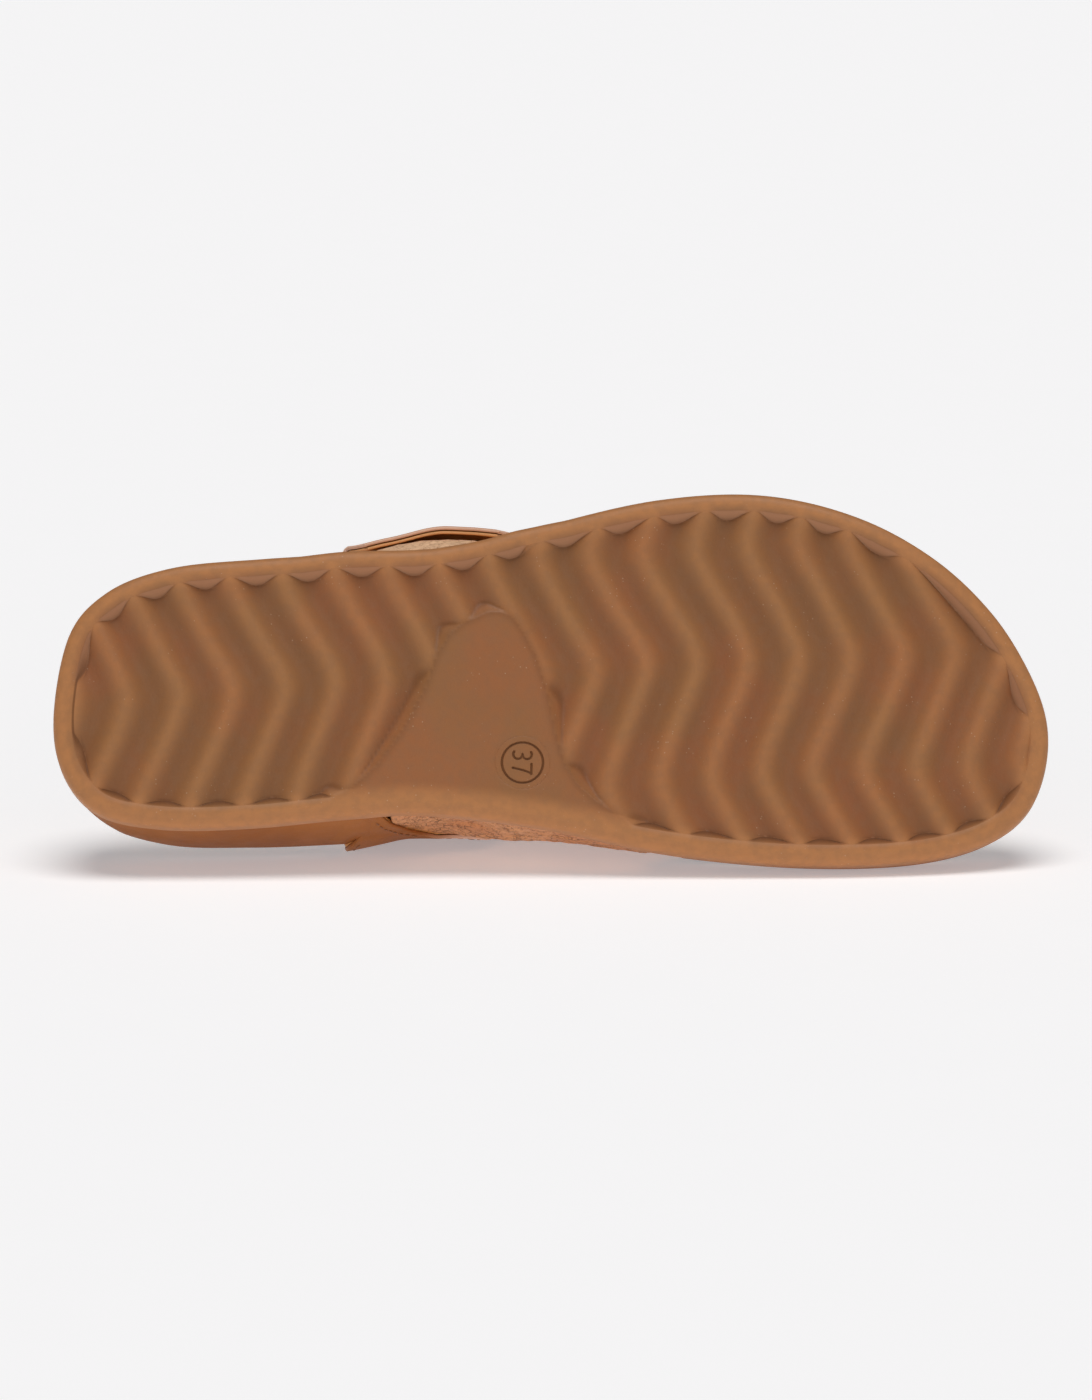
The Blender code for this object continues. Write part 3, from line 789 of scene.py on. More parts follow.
@dataclass(frozen=True)
class LeatherFinish:
    """Smooth leather with a fine grain."""

    name: str
    base: Colour
    deep: Colour
    edge: Colour = (0.920, 0.600, 0.440)
    grain: float = 1100.0
    grain_amount: float = 0.22
    roughness: float = 0.52
    shine: float = 0.18

    def build(self) -> bpy.types.Material:
        """Makes the material.

        Returns:
            The material.
        """
        graph = Graph(self.name)
        colour = graph.mix(graph.cloud(55.0, 0.30, 0.72), self.base, self.deep)
        lines = graph.ramp(graph.cells(self.grain), 0.0, 0.10)
        colour = graph.mix(graph.times(graph.invert(lines), self.grain_amount), colour, self.deep)
        colour = graph.mix(graph.attribute("cut"), colour, self.edge)
        normal = graph.bump(lines, 0.12, 0.0002)
        normal = graph.bump(graph.noise(210.0, 4.0, 0.6), 0.16, 0.0008, normal)
        roughness = graph.roughness(140.0, 0.14, self.roughness)
        return graph.finish(colour, roughness, normal, self.shine)


@dataclass(frozen=True)
class CrackleFinish:
    """Crinkled leather: a pale skin broken by a net of darker creases; painted light higher up."""

    name: str
    skin: Colour = (0.840, 0.410, 0.180)
    blush: Colour = (0.720, 0.300, 0.115)
    # Painted light: colour of the skin higher up, between the two heights below.
    pale: Colour = (0.930, 0.580, 0.345)
    crease: Colour = (0.400, 0.150, 0.058)
    edge: Colour = (0.60, 0.36, 0.25)
    warp: float = 0.0045
    painted_light_from: float = 0.030
    painted_light_to: float = 0.080
    # Each net of creases: scale, width of a line, its depth.
    nets: Table = ((420.0, 0.09, 0.80), (950.0, 0.14, 0.50))

    def build(self) -> bpy.types.Material:
        """Makes the material.

        Returns:
            The material.
        """
        graph = Graph(self.name)
        links = {0: graph.noise(160.0, output="Color"), 1: (self.warp,) * 3}
        shift = graph.add("ShaderNodeVectorMath", links, operation="MULTIPLY").outputs[0]
        links = {0: graph.coordinates, 1: shift}
        place = graph.add("ShaderNodeVectorMath", links, operation="ADD").outputs[0]
        colour = graph.mix(graph.cloud(70.0, 0.32, 0.68), self.skin, self.blush)
        # Painted light: paler skin and calmer creases higher up.
        up = graph.add("ShaderNodeSeparateXYZ", {"Vector": graph.coordinates}).outputs["Z"]
        high = graph.ramp(up, self.painted_light_from, self.painted_light_to)
        colour = graph.mix(high, colour, self.pale)
        calm_in_light = graph.invert(graph.times(high, 0.5))
        height = graph.times(graph.noise(330.0, 4.0, 0.8), 1.1)
        for scale, width, depth in self.nets:
            line = graph.invert(graph.ramp(graph.cells(scale, place), 0.0, width))
            broken = graph.cloud(scale * 0.6, 0.40, 0.62, 2.0)
            line = graph.times(graph.times(line, broken), calm_in_light)
            colour = graph.mix(graph.times(line, depth), colour, self.crease)
            height = graph.math("ADD", height, graph.times(line, -depth))
        colour = graph.mix(graph.attribute("cut"), colour, self.edge)
        normal = graph.bump(height, 0.85, 0.0008)
        return graph.finish(colour, graph.roughness(200.0, 0.2, 0.46), normal)


@dataclass(frozen=True)
class ThreadFinish:
    """Waxed sewing thread."""

    name: str
    colour: Colour

    def build(self) -> bpy.types.Material:
        """Makes the material.

        Returns:
            The material.
        """
        graph = Graph(self.name)
        fibre = graph.noise(2600.0)
        colour = graph.mix(fibre, self.colour, tuple(part * 0.6 for part in self.colour))
        roughness = graph.math("ADD", graph.times(fibre, 0.2), 0.5)
        return graph.finish(colour, roughness, graph.bump(fibre, 0.3, 0.0002))


def mesh_data(mesh: bmesh.types.BMesh, name: str) -> bpy.types.Mesh:
    """Turns a finished bmesh into mesh data and frees it.

    Args:
        mesh: The finished bmesh.
        name: Name of the data.

    Returns:
        The mesh data.
    """
    data = bpy.data.meshes.new(name)
    mesh.to_mesh(data)
    mesh.free()
    return data


def new_object(name: str, data: bpy.types.ID) -> bpy.types.Object:
    """Puts a new object in the scene, at the origin.

    Args:
        name: Name of the object.
        data: Its mesh, camera or light.

    Returns:
        The object.
    """
    thing = bpy.data.objects.new(name, data)
    bpy.context.scene.collection.objects.link(thing)
    return thing


def add_piece(
    name: str, data: bpy.types.Mesh, slot: Slot, finish: bpy.types.Material, *nodes: str
) -> bpy.types.Object:
    """Puts a finished mesh in the scene.

    Args:
        name: Name of the piece.
        data: Its mesh, in the shared frame.
        slot: Not used.
        finish: Its material.
        *nodes: Nodes of the solids that the piece stands for.

    Returns:
        The piece.
    """
    piece = new_object(name, data)
    data.materials.clear()
    data.materials.append(finish)
    data.shade_smooth()
    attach(piece, "root")
    if nodes:
        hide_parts(*nodes)
    LOG.info("%s: %d faces", name, len(data.polygons))
    return piece


def grid_mesh(name: str, rows: Array, closed: bool, **attributes: Array) -> bpy.types.Mesh:
    """A smooth mesh through a grid of standing points, laid down by the pose.

    Args:
        name: Name of the mesh.
        rows: Points as rows, columns and X, Y, Z.
        closed: Whether the last column joins the first.
        **attributes: Numbers for each point, as rows and columns.

    Returns:
        The mesh, with its seams welded.
    """
    count, across = rows.shape[:2]
    steps = across if closed else across - 1
    mesh = bmesh.new()
    bmesh.ops.create_grid(mesh, x_segments=steps, y_segments=count - 1, size=1.0)
    laid = POSE.place(rows.reshape(-1, 3)).reshape(rows.shape)
    layers = {key: mesh.verts.layers.float.new(key) for key in attributes}
    for vertex in mesh.verts:
        i = round((vertex.co.x + 1.0) / 2.0 * steps) % across
        j = round((vertex.co.y + 1.0) / 2.0 * (count - 1))
        vertex.co = laid[j, i]
        for key, layer in layers.items():
            vertex[layer] = float(attributes[key][j, i])
    bmesh.ops.remove_doubles(mesh, verts=mesh.verts, dist=2e-6)
    bmesh.ops.dissolve_degenerate(mesh, edges=mesh.edges, dist=1e-7)
    bmesh.ops.recalc_face_normals(mesh, faces=mesh.faces)
    return mesh_data(mesh, name)


@dataclass
class SizeMark:
    """The size number 37 in a ring, cut into a small plate of rubber in the plateau."""

    share: float = 0.4713
    across: float = 0.1735
    ring_radius: float = 0.0052
    line: float = 0.00030
    depth: float = 0.00035
    plate_radius: float = 0.0070
    plate_foot: float = 0.00010
    well_radius: float = 0.0060
    well_wall: float = 0.0008
    well_depth: float = 0.0009
    proud: float = 0.00003
    shade: float = 0.75
    steps: int = 150
    # The 3: each bow's middle, first and last angle; its radii; its place across.
    bows: Table = ((0.00112, -35.0, 185.0), (-0.00122, -5.0, 215.0))
    bow_radii: tuple[float, float] = (0.00117, 0.00118)
    bow_side: float = -0.0021
    # The 7: height and ends of its bar, run and lean of its leg.
    bar_top: float = 0.0023
    bar_ends: tuple[float, float] = (0.0003, 0.0029)
    leg_run: float = 0.0047
    leg_lean: float = 0.0015

    def centre(self) -> Array:
        """Centre of the ring on the sole."""
        return np.array([self.share * LENGTH, self.across * BALL_WIDTH])

    def strokes(self) -> list[Array]:
        """Centre lines of the ring and the digits, whose tops point to the toe.

        Returns:
            The lines, round the ring's centre.
        """
        turn = np.linspace(0.0, 2 * math.pi, 73)
        lines = [self.ring_radius * np.stack([np.cos(turn), np.sin(turn)], axis=1)]
        for top, start, end in self.bows:
            sweep = np.radians(np.linspace(start, end, 25))
            bow = np.stack([np.cos(sweep), np.sin(sweep)], axis=1) * self.bow_radii
            lines.append(bow + (top, self.bow_side))
        lines.append(np.array([(self.bar_top, end) for end in self.bar_ends]))
        leg = np.linspace(0.0, 1.0, 12)
        aside = self.bar_ends[1] - self.leg_lean * leg**0.6
        lines.append(np.stack([self.bar_top - self.leg_run * leg, aside], axis=1))
        return lines

    def well(self, points: Array) -> Array:
        """Depth of the hidden well that the plate closes."""
        inside = self.well_radius + self.well_wall - np.linalg.norm(points - self.centre(), axis=1)
        return self.well_depth * smooth_step(inside / self.well_wall)

    def build(self, rubber: bpy.types.Material) -> None:
        """Makes the plate with its cut lines.

        Args:
            rubber: Its material.
        """
        turn = np.linspace(0.0, 2 * math.pi, 4 * self.steps, endpoint=False)
        radius = np.linspace(0.0, 1.0, self.steps) * self.plate_radius
        flat = radius[:, None, None] * np.stack([np.cos(turn), np.sin(turn)], axis=-1)
        points = flat.reshape(-1, 2)
        away = np.min([distance_to_line(points, line) for line in self.strokes()], axis=0)
        cut = smooth_step(1.35 - away / self.line).reshape(flat.shape[:2])
        rim = smooth_step((radius / self.plate_radius - 0.95) / 0.05)[:, None]
        height = self.depth * cut - self.proud + rim * (self.proud + self.plate_foot)
        rows = np.concatenate([flat + self.centre(), height[..., None]], axis=-1)
        none = np.zeros_like(cut)
        mesh = grid_mesh(
            "size_mark", rows, True,
            relief=none + PLATEAU_TONE, rim=none, cut=cut * self.shade, blush=none,
        )
        add_piece("size_mark", mesh, Slot.RUBBER, rubber)


# A ring of the outsole: points, depth as the colour sees it, share of the rim's colour,
# painted shadow.
Ring = tuple[Array, Array | float, Array | float, Array | float]


@dataclass
class Outsole:
    """Rubber outsole: rim, wave tread, plateau, side and top."""

    stations: int = 400
    tread_rings: int = 74
    rim_round: float = 0.0030
    top_round: float = 0.0009
    # Waves of the tread, as the solid has them.
    pitch: float = 0.01313
    first_ridge: float = 0.0315
    axis: float = math.radians(-5.5)
    swing: float = 0.0115
    half_span: float = 0.0300
    crest_offset: float = 0.0048
    rounding: float = 0.90
    # How the scene's ridges wander and stand up, and how soft the plateau's own wall is.
    sharpness: float = 1.04
    wander: float = 0.0004
    wander_along: float = 71.0
    wander_aside: float = 90.0
    plateau_softness: float = 0.65
    # Painted shade: lines where a wall meets a valley, round the plateau and along the heel's
    # first ridge.
    meet_width: float = 0.0011
    meet_shade: float = 0.36
    border_width: float = 0.0011
    border_shade: float = 0.26
    heel_line_end: float = 0.010
    heel_line_fade: float = 0.008
    heel_line_width: float = 0.0006
    crease_steps: int = 41
    crease_margin: float = 3e-5
    long_wall: float = 0.0010
    deep_valley: float = 0.0010
    border_start: float = 0.010
    # The rim's colour fades from here and over this, in widths of the rim; crisp over a long wall.
    soft_fade: tuple[float, float] = (0.7, 1.0)
    crisp_fade: tuple[float, float] = (0.88, 0.14)
    crisp_wall: float = 0.0012
    heel_dulling: float = 0.35
    heel_dulling_end: float = 0.06
    # Shadow of the joint on the last rings of the side.
    joint_shades: tuple[float, ...] = (0.15, 0.55, 0.85, 0.85)
    mark: SizeMark = field(default_factory=SizeMark)

    def plateau(self) -> Array:
        """Corners of the plateau in metres."""
        return np.array(PLATEAU) * (LENGTH, BALL_WIDTH)

    def from_plateau(self, points: Array) -> Array:
        """Distance from the plateau's border."""
        return distance_to_line(points, np.vstack([self.plateau(), self.plateau()[:1]]))

    def reliefs(self, points: Array, edge_line: Array) -> tuple[Array, Array]:
        """Depths below the ridge tops that the valleys and the end walls would have alone.

        Args:
            points: Points of the sole.
            edge_line: The closed outline.

        Returns:
            Depth of the valleys and depth of the walls.
        """
        along = points[:, 0] * math.cos(self.axis) + points[:, 1] * math.sin(self.axis)
        aside = points[:, 1] * math.cos(self.axis) - points[:, 0] * math.sin(self.axis)
        bend = np.cos(math.pi * (aside - self.crest_offset) / self.half_span)
        zigzag = np.arcsin(self.rounding * bend) / (2 * math.asin(self.rounding))
        wander = np.sin(along * self.wander_along + 2.0 * np.sin(aside * self.wander_aside))
        along = along + self.wander * wander - self.first_ridge
        phase = (along - self.swing * (zigzag - 0.5)) / self.pitch
        ridge = (0.5 + 0.5 * np.cos(2 * math.pi * phase)) ** self.sharpness
        from_plateau = self.from_plateau(points) * self.plateau_softness
        from_plateau[inside_polygon(points, self.plateau())] = 0.0
        from_rim = distance_to_line(points, edge_line) - RIM_WIDTH
        wall = np.minimum(from_rim, from_plateau) * TREAD_DEPTH / TREAD_WALL_RUN
        return TREAD_DEPTH * (1.0 - ridge), wall

    def crease(self, loop: Outline, edge_line: Array) -> Array:
        """How far inside the rim each station's end wall meets the valley floor.

        Args:
            loop: The outline with its flare.
            edge_line: The same as a closed line.

        Returns:
            The distance for each station.
        """
        found = np.full(len(loop.share), TREAD_WALL_RUN)
        for reach in np.linspace(TREAD_WALL_RUN, 0.0, self.crease_steps):
            ring = loop.inset(RIM_WIDTH + reach)
            depth = np.clip(np.minimum(*self.reliefs(ring, edge_line)), 0.0, None)
            wall = reach * TREAD_DEPTH / TREAD_WALL_RUN
            found = np.where(depth < wall - self.crease_margin, reach, found)
        return np.convolve(np.concatenate([found[-1:], found, found[:1]]), np.ones(3) / 3, "valid")

    def flats(self, loop: Outline, reach: Array) -> list[Array]:
        """Flat rings of the tread from the middle to the rim, close together over the end walls.

        Args:
            loop: The outline with its flare.
            reach: How far inside the rim each end wall reaches.

        Returns:
            The rings.
        """
        wall_foot = loop.inset(RIM_WIDTH + TREAD_WALL_RUN)
        rings = [loop.towards_spine(wall_foot, p) for p in np.linspace(1, 0, self.tread_rings)]
        for on_wall, part, *_ in END_WALL:
            inset = reach * part if on_wall else reach + (TREAD_WALL_RUN - reach) * part
            rings.append(loop.inset(RIM_WIDTH + inset))
        return rings

    def tread(self, ring: Array, loop: Outline, edge_line: Array, crease: Array) -> Ring:
        """One ring of the tread.

        Args:
            ring: The ring, flat.
            loop: The outline with its flare.
            edge_line: The same as a closed line.
            crease: How far inside the rim each end wall reaches.

        Returns:
            The ring with what its material needs.
        """
        valley, wall = self.reliefs(ring, edge_line)
        depth = np.clip(np.minimum(valley, wall), 0.0, None)
        # Painted shade: lines where an end wall meets a valley, and round the plateau.
        meet = self.meet_shade * smooth_step(1.0 - np.abs(valley - wall) / self.meet_width)
        border = self.border_shade * np.exp(-((self.from_plateau(ring) / self.border_width) ** 2))
        border = border * (ring[:, 1] < self.plateau()[0, 1] - self.border_start)
        shadow = np.maximum(meet * smooth_step(depth / self.deep_valley), border)
        from_edge = distance_to_line(ring, edge_line) / RIM_WIDTH
        soft, crisp = (
            1.0 - smooth_step((from_edge - start) / run)
            for start, run in (self.soft_fade, self.crisp_fade)
        )
        edge = soft + (crisp - soft) * smooth_step(crease / self.crisp_wall)
        at_heel = smooth_step(1.0 - loop.share / self.heel_dulling_end)
        edge = edge * (1.0 - self.heel_dulling * at_heel)
        height = rocker(ring[:, 0] / LENGTH) + depth + self.mark.well(ring)
        shade = np.where(inside_polygon(ring, self.plateau()), PLATEAU_TONE * TREAD_DEPTH, depth)
        return with_height(ring, height), shade, edge, shadow

    def side(self, loop: Outline) -> list[Ring]:
        """Rings of the rounded rim, the side and the top.

        Args:
            loop: The outline with its flare.

        Returns:
            The rings with what their material needs.
        """
        ground, top = rocker(loop.share), joint_height(loop.share)
        rings = []
        for turn in np.radians(np.linspace(0.0, 90.0, 9)):
            ring = loop.inset(self.rim_round * (1.0 - math.sin(turn)))
            rings.append(with_height(ring, ground + self.rim_round * (1.0 - math.cos(turn))))
        rings.append(with_height(loop.points, ground + 0.6 * OUTSOLE_SIDE))
        for turn in np.radians(np.linspace(0.0, 90.0, 5)):
            ring = loop.inset(self.top_round * (1.0 - math.cos(turn)))
            rings.append(with_height(ring, top - self.top_round * (1.0 - math.sin(turn))))
        middle = with_height(loop.spine, joint_height(loop.spine_share))
        return [(ring, 0.0, 1.0, 0.0) for ring in rings] + [(middle, 0.0, 0.0, 0.0)]

    def build(self, rubber: bpy.types.Material) -> None:
        """Makes the outsole and its size mark.

        Args:
            rubber: Material of both.
        """
        loop = Outline(self.stations)
        flare = np.where(loop.inner, 0.0, read_table(RIM_FLARE, 1, loop.share, True))
        loop.points = loop.inset(-flare)
        edge_line = np.vstack([loop.points, loop.points[:1]])
        crease = self.crease(loop, edge_line)
        heel = smooth_step((self.heel_line_end - loop.share) / self.heel_line_fade)
        flats = self.flats(loop, np.maximum(crease, self.heel_line_width * heel))
        shell = [self.tread(ring, loop, edge_line, crease) for ring in flats] + self.side(loop)
        relief, rim, painted_shade = (
            np.array([np.broadcast_to(ring[part], len(crease)) for ring in shell])
            for part in (1, 2, 3)
        )
        walls = slice(self.tread_rings, len(flats))
        # Painted shade on the end walls: a line where they face down, shade where they face up.
        line, upward_painted_shade, pale, heel_painted_line = np.array(END_WALL)[:, 2:].T[..., None]
        upward = smooth_step(0.2 - loop.inward[:, 1])
        long = smooth_step(crease / self.long_wall)
        shade = (line * (1.0 - upward) + upward_painted_shade * upward) * long
        # Painted shade: a line beside the heel's first ridge as well.
        painted_shade[walls] = np.maximum(shade, heel_painted_line * heel)
        painted_shade[-len(self.joint_shades):] = np.array(self.joint_shades)[:, None]
        # Painted light: the end walls that face down made paler.
        blush = np.zeros_like(painted_shade)
        blush[walls] = pale * (1.0 - upward) * long
        mesh = grid_mesh(
            "sole_tread", np.array([ring[0] for ring in shell]), True,
            relief=np.clip(relief / TREAD_DEPTH, 0.0, 1.0), rim=rim, cut=painted_shade, blush=blush,
        )
        add_piece("sole_tread", mesh, Slot.RUBBER, rubber, "outsole")
        self.mark.build(rubber)


@dataclass(frozen=True)
class Stitch:
    """Sizes of a kind of stitch."""

    length: float = 0.0022
    gap: float = 0.0009
    radius: float = 0.00030

    def sew(self, name: str, path: Array, slot: Slot, thread: bpy.types.Material) -> None:
        """Makes a row of stitches.

        Args:
            name: Name of the piece.
            path: Points of the seam in the standing shoe.
            slot: Slot of the record, passed to add_piece.
            thread: Material of the thread.
        """
        laid = POSE.place(path)
        steps = np.linalg.norm(np.diff(laid, axis=0), axis=1)
        travelled = np.concatenate([[0.0], np.cumsum(steps)])
        mesh = bmesh.new()
        last = travelled[-1] - self.length
        for start in np.arange(self.gap / 2, last, self.length + self.gap):
            ends = [
                Vector([np.interp(at, travelled, laid[:, k]) for k in range(3)])
                for at in (start, start + self.length)
            ]
            run = ends[1] - ends[0]
            turn = run.to_track_quat("Z", "Y").to_matrix().to_4x4()
            place = Matrix.Translation((ends[0] + ends[1]) / 2) @ turn
            half = run.length / 2 + self.radius / 2
            scale = Matrix.Diagonal((self.radius, self.radius, half, 1.0))
            bmesh.ops.create_uvsphere(
                mesh, u_segments=8, v_segments=6, radius=1.0, matrix=place @ scale
            )
        add_piece(name, mesh_data(mesh, name), slot, thread)


@dataclass
class Footbed:
    """Leather-wrapped midsole with a sewn leather insole."""

    stations: int = 170
    lift: float = 0.00015
    foot_round: float = 0.0008
    edge_round: float = 0.0016
    side_belly: float = 0.0005
    seam: float = 0.0024
    groove_depth: float = 0.00035
    groove_width: float = 0.0006
    worn_edge: float = 0.9
    insole_lift: float = 0.0002
    stitch: Stitch = Stitch(0.0030, 0.0012, 0.00035)

    def top(self, loop: Outline, part: float) -> Array:
        """Height of the footbed on a ring drawn towards the spine.

        Args:
            loop: The outline.
            part: How far the ring is drawn in.

        Returns:
            Height at each station.
        """
        edge = edge_height(loop.share, loop.inner)
        middle = EDGE_HEIGHT * read_table(FOOTBED, 3, loop.spine_share)
        return middle + (edge - middle) * (1.0 - part) ** DISH_POWER

    def wrap(self, leather: bpy.types.Material) -> None:
        """Makes the wrapped block.

        Args:
            leather: Its material.
        """
        loop = Outline(self.stations)
        foot = joint_height(loop.share) + self.lift
        edge = edge_height(loop.share, loop.inner) - INSOLE_THICKNESS
        rings = [with_height(loop.spine, joint_height(loop.spine_share) + self.lift)]
        foot_inset = side_inset(loop.share, loop.inner, 0.0, True)
        for turn in np.radians(np.linspace(0.0, 90.0, 5)):
            ring = loop.inset(foot_inset + self.foot_round * (1 - math.sin(turn)))
            rings.append(with_height(ring, foot + self.foot_round * (1.0 - math.cos(turn))))
        low, high = foot + self.foot_round, edge - self.edge_round
        for up in np.linspace(0.06, 1.0, 14):
            belly = self.side_belly * math.sin(math.pi * up)
            ring = loop.inset(side_inset(loop.share, loop.inner, up, True) - belly)
            rings.append(with_height(ring, low + (high - low) * up))
        inset = side_inset(loop.share, loop.inner, 1.0, True)
        for turn in np.radians(np.linspace(15.0, 90.0, 6)):
            ring = loop.inset(inset + self.edge_round * (1.0 - math.cos(turn)))
            rings.append(with_height(ring, high + self.edge_round * math.sin(turn)))
        rim = loop.inset(inset + self.edge_round)
        for part in (0.06, 0.14, 0.25, 0.45, 0.7, 1.0):
            ring = loop.towards_spine(rim, part)
            rings.append(with_height(ring, self.top(loop, part) - INSOLE_THICKNESS))
        rows = np.array(rings)
        mesh = grid_mesh("midsole_wrap", rows, True, cut=np.zeros(rows.shape[:2]))
        add_piece("midsole_wrap", mesh, Slot.WRAP, leather, "midsole")

    def insole(self, leather: bpy.types.Material, thread: bpy.types.Material) -> None:
        """Makes the insole and the stitches round its edge.

        Args:
            leather: Material of the sheet.
            thread: Material of the stitches.
        """
        loop = Outline(self.stations)
        rim = loop.inset(side_inset(loop.share, loop.inner, 1.0) + INSOLE_MARGIN)
        half = INSOLE_THICKNESS / 2
        rings, cut = [], []
        for part in (1.0, 0.6, 0.3, 0.1, 0.0):
            height = self.top(loop, part) - INSOLE_THICKNESS + self.insole_lift
            rings.append(with_height(loop.towards_spine(rim, part), height))
            cut.append(0.0)
        for turn in np.radians(np.linspace(-60.0, 60.0, 7)):
            ring = rim - loop.inward * (half * math.cos(turn) * 0.6)
            rings.append(with_height(ring, self.top(loop, 0.0) - half + half * math.sin(turn)))
            cut.append(self.worn_edge)
        for part in np.concatenate([np.linspace(0.0, 0.16, 13), np.linspace(0.2, 1.0, 17)]):
            ring = loop.towards_spine(rim, part)
            away = (np.linalg.norm(ring - rim, axis=1) - self.seam) / self.groove_width
            groove = self.groove_depth * np.exp(-(away**2))
            rings.append(with_height(ring, self.top(loop, part) - groove))
            cut.append(0.0)
        rows = np.array(rings)
        mesh = grid_mesh(
            "insole_sheet", rows, True, cut=np.repeat(np.array(cut)[:, None], rows.shape[1], 1)
        )
        add_piece("insole_sheet", mesh, Slot.INSOLE, leather, "insole")
        inner = loop.spine - rim
        inner /= np.linalg.norm(inner, axis=1)[:, None]
        path = with_height(rim + inner * self.seam, self.top(loop, 0.05) + self.insole_lift)
        path = np.vstack([path, path[:1]])
        self.stitch.sew("insole_stitches", path, Slot.INSOLE, thread)

    def build(
        self, wrap: bpy.types.Material, leather: bpy.types.Material, thread: bpy.types.Material
    ) -> None:
        """Makes both pieces."""
        self.wrap(wrap)
        self.insole(leather, thread)


def last_surface(share: Array, across: Array) -> Array:
    """Points on the last.

    Args:
        share: Places along the shoe, as shares of LENGTH.
        across: Shares of the way round, from the inner to the outer base.

    Returns:
        X, Y and Z of each point.
    """
    inner = across < 0.5
    foot = joint_height(share) + FIT_GAP + BASE_LIFT
    up = np.clip(np.where(inner, across, 1.0 - across) / SIDE_SHARE, 0.0, 1.0)
    walls = [
        outline_side(share, side) + sign * (side_inset(share, side, up) - UPPER_GAP)
        for side, sign in ((True, -1.0), (False, 1.0))
    ]
    edges = [edge_height(share, side) - INSOLE_THICKNESS for side in (True, False)]
    centre, half = (walls[0] + walls[1]) / 2, (walls[0] - walls[1]) / 2
    place, rise = read_table(ARCH, 1, across), read_table(ARCH, 2, across)
    bulge = read_table(INSTEP, 2, share)
    plain = np.cos(math.pi * (across - SIDE_SHARE) / (1.0 - 2.0 * SIDE_SHARE))
    place = plain + (place - plain) * read_table(INSTEP, 3, share)
    base = edges[0] + (edges[1] - edges[0]) * (1.0 - place) / 2
    over = (across > SIDE_SHARE) & (across < 1.0 - SIDE_SHARE)
    y = np.where(over, centre + half * place, np.where(inner, walls[0], walls[1]))
    edge = np.where(inner, edges[0], edges[1])
    height = INSTEP_HEIGHT * read_table(INSTEP, 1, share)
    z = np.where(over, base + height * rise, foot + (edge - foot) * up)
    y = y - OUTER_BULGE * bulge * np.where(inner, 0.0, read_table(BULGE, 1, across))
    return np.stack([share * LENGTH, y, z], axis=-1)


def last_point(share: Array, across: Array, lift: Array) -> Array:
    """Points lifted outwards from the last.

    Args:
        share: Places along the shoe, as shares of LENGTH.
        across: Shares of the way round.
        lift: Distance outwards.

    Returns:
        X, Y and Z of each point.
    """
    step = 0.004
    low, high = np.clip(across - step, 0.0, 1.0), np.clip(across + step, 0.0, 1.0)
    along = last_surface(share + step, across) - last_surface(share - step, across)
    round_way = last_surface(share, high) - last_surface(share, low)
    normal = np.cross(round_way, along)
    normal /= np.linalg.norm(normal, axis=-1)[..., None]
    return last_surface(share, across) + normal * lift[..., None]


@dataclass
class Layer:
    """One layer of leather over the last, as a closed solid with rounded edges."""

    name: str
    edges: Table
    low: float
    high: float
    inset: float = 0.0
    rows: int = 150
    columns: int = 56
    lift: Lift | None = None
    relief: Lift | None = None

    def build(self, slot: Slot, finish: bpy.types.Material, *nodes: str) -> None:
        """Makes the layer.

        Args:
            slot: Slot of the record, passed to add_piece.
            finish: Its material.
            *nodes: Nodes of the solids that it stands for.
        """
        first, last = self.edges[0][0], self.edges[-1][0]
        half = (self.high - self.low) / 2
        body = np.linspace(first, last, self.rows)
        bow = np.radians([0.0, 20.0, 40.0, 60.0, 75.0])
        caps, reach = np.sin(bow), np.cos(bow) * half * 0.9 / ROUND_WAY
        across = np.concatenate([first - reach, body, last + reach[::-1]])
        swell = np.concatenate([caps, np.ones(self.rows), caps[::-1]])
        rear = read_table(self.edges, 1, across, True) + self.inset / LENGTH
        front = read_table(self.edges, 2, across, True) - self.inset / LENGTH
        t = np.linspace(0.0, 1.0, self.columns)
        arc = np.radians(np.linspace(-72.0, 72.0, 7))
        rounding = half * 0.9 / LENGTH
        profile_t = np.concatenate([t, np.ones(7), t[::-1], np.zeros(7)])
        out = np.concatenate([0 * t, np.cos(arc), 0 * t, -np.cos(arc)]) - np.concatenate(
            [2 * t - 1, np.ones(7), 2 * t[::-1] - 1, -np.ones(7)]
        )
        side = np.concatenate([t * 0 + 1, -np.sin(arc), t * 0 - 1, np.sin(arc)])
        worn = np.concatenate([0 * t, np.ones(7), 0 * t, np.ones(7)])
        share = rear[:, None] + (front - rear)[:, None] * profile_t + rounding * out
        place = np.repeat(across[:, None], len(profile_t), 1)
        lift = self.lift(share, place) if self.lift else np.zeros_like(share)
        thick = (self.low + self.high) / 2 + half * side * swell[:, None]
        if self.relief:
            thick = thick + self.relief(share, place) * (side > 0)
        rows = last_point(share, place, lift + thick)
        cut = np.maximum(np.broadcast_to(worn, share.shape), 1.0 - swell[:, None] ** 3)
        cut = cut * smooth_step((place - 0.10) / 0.05)
        mesh = grid_mesh(self.name, rows, True, cut=cut)
        add_piece(self.name, mesh, slot, finish, *nodes)

    def seam(self, side: int, inset: float, first: float, last: float) -> Array:
        """A seam along an edge.

        Args:
            side: The rear (1) or front (2) edge.
            inset: Distance from the edge.
            first: Share of the way round where it starts.
            last: Share of the way round where it ends.

        Returns:
            Its points in the standing shoe.
        """
        across = np.linspace(first, last, 220)
        sign = 1.0 if side == 1 else -1.0
        share = read_table(self.edges, side, across, True) + sign * inset / LENGTH
        lift = self.lift(share, across) if self.lift else np.zeros_like(share)
        return last_point(share, across, lift + self.high)


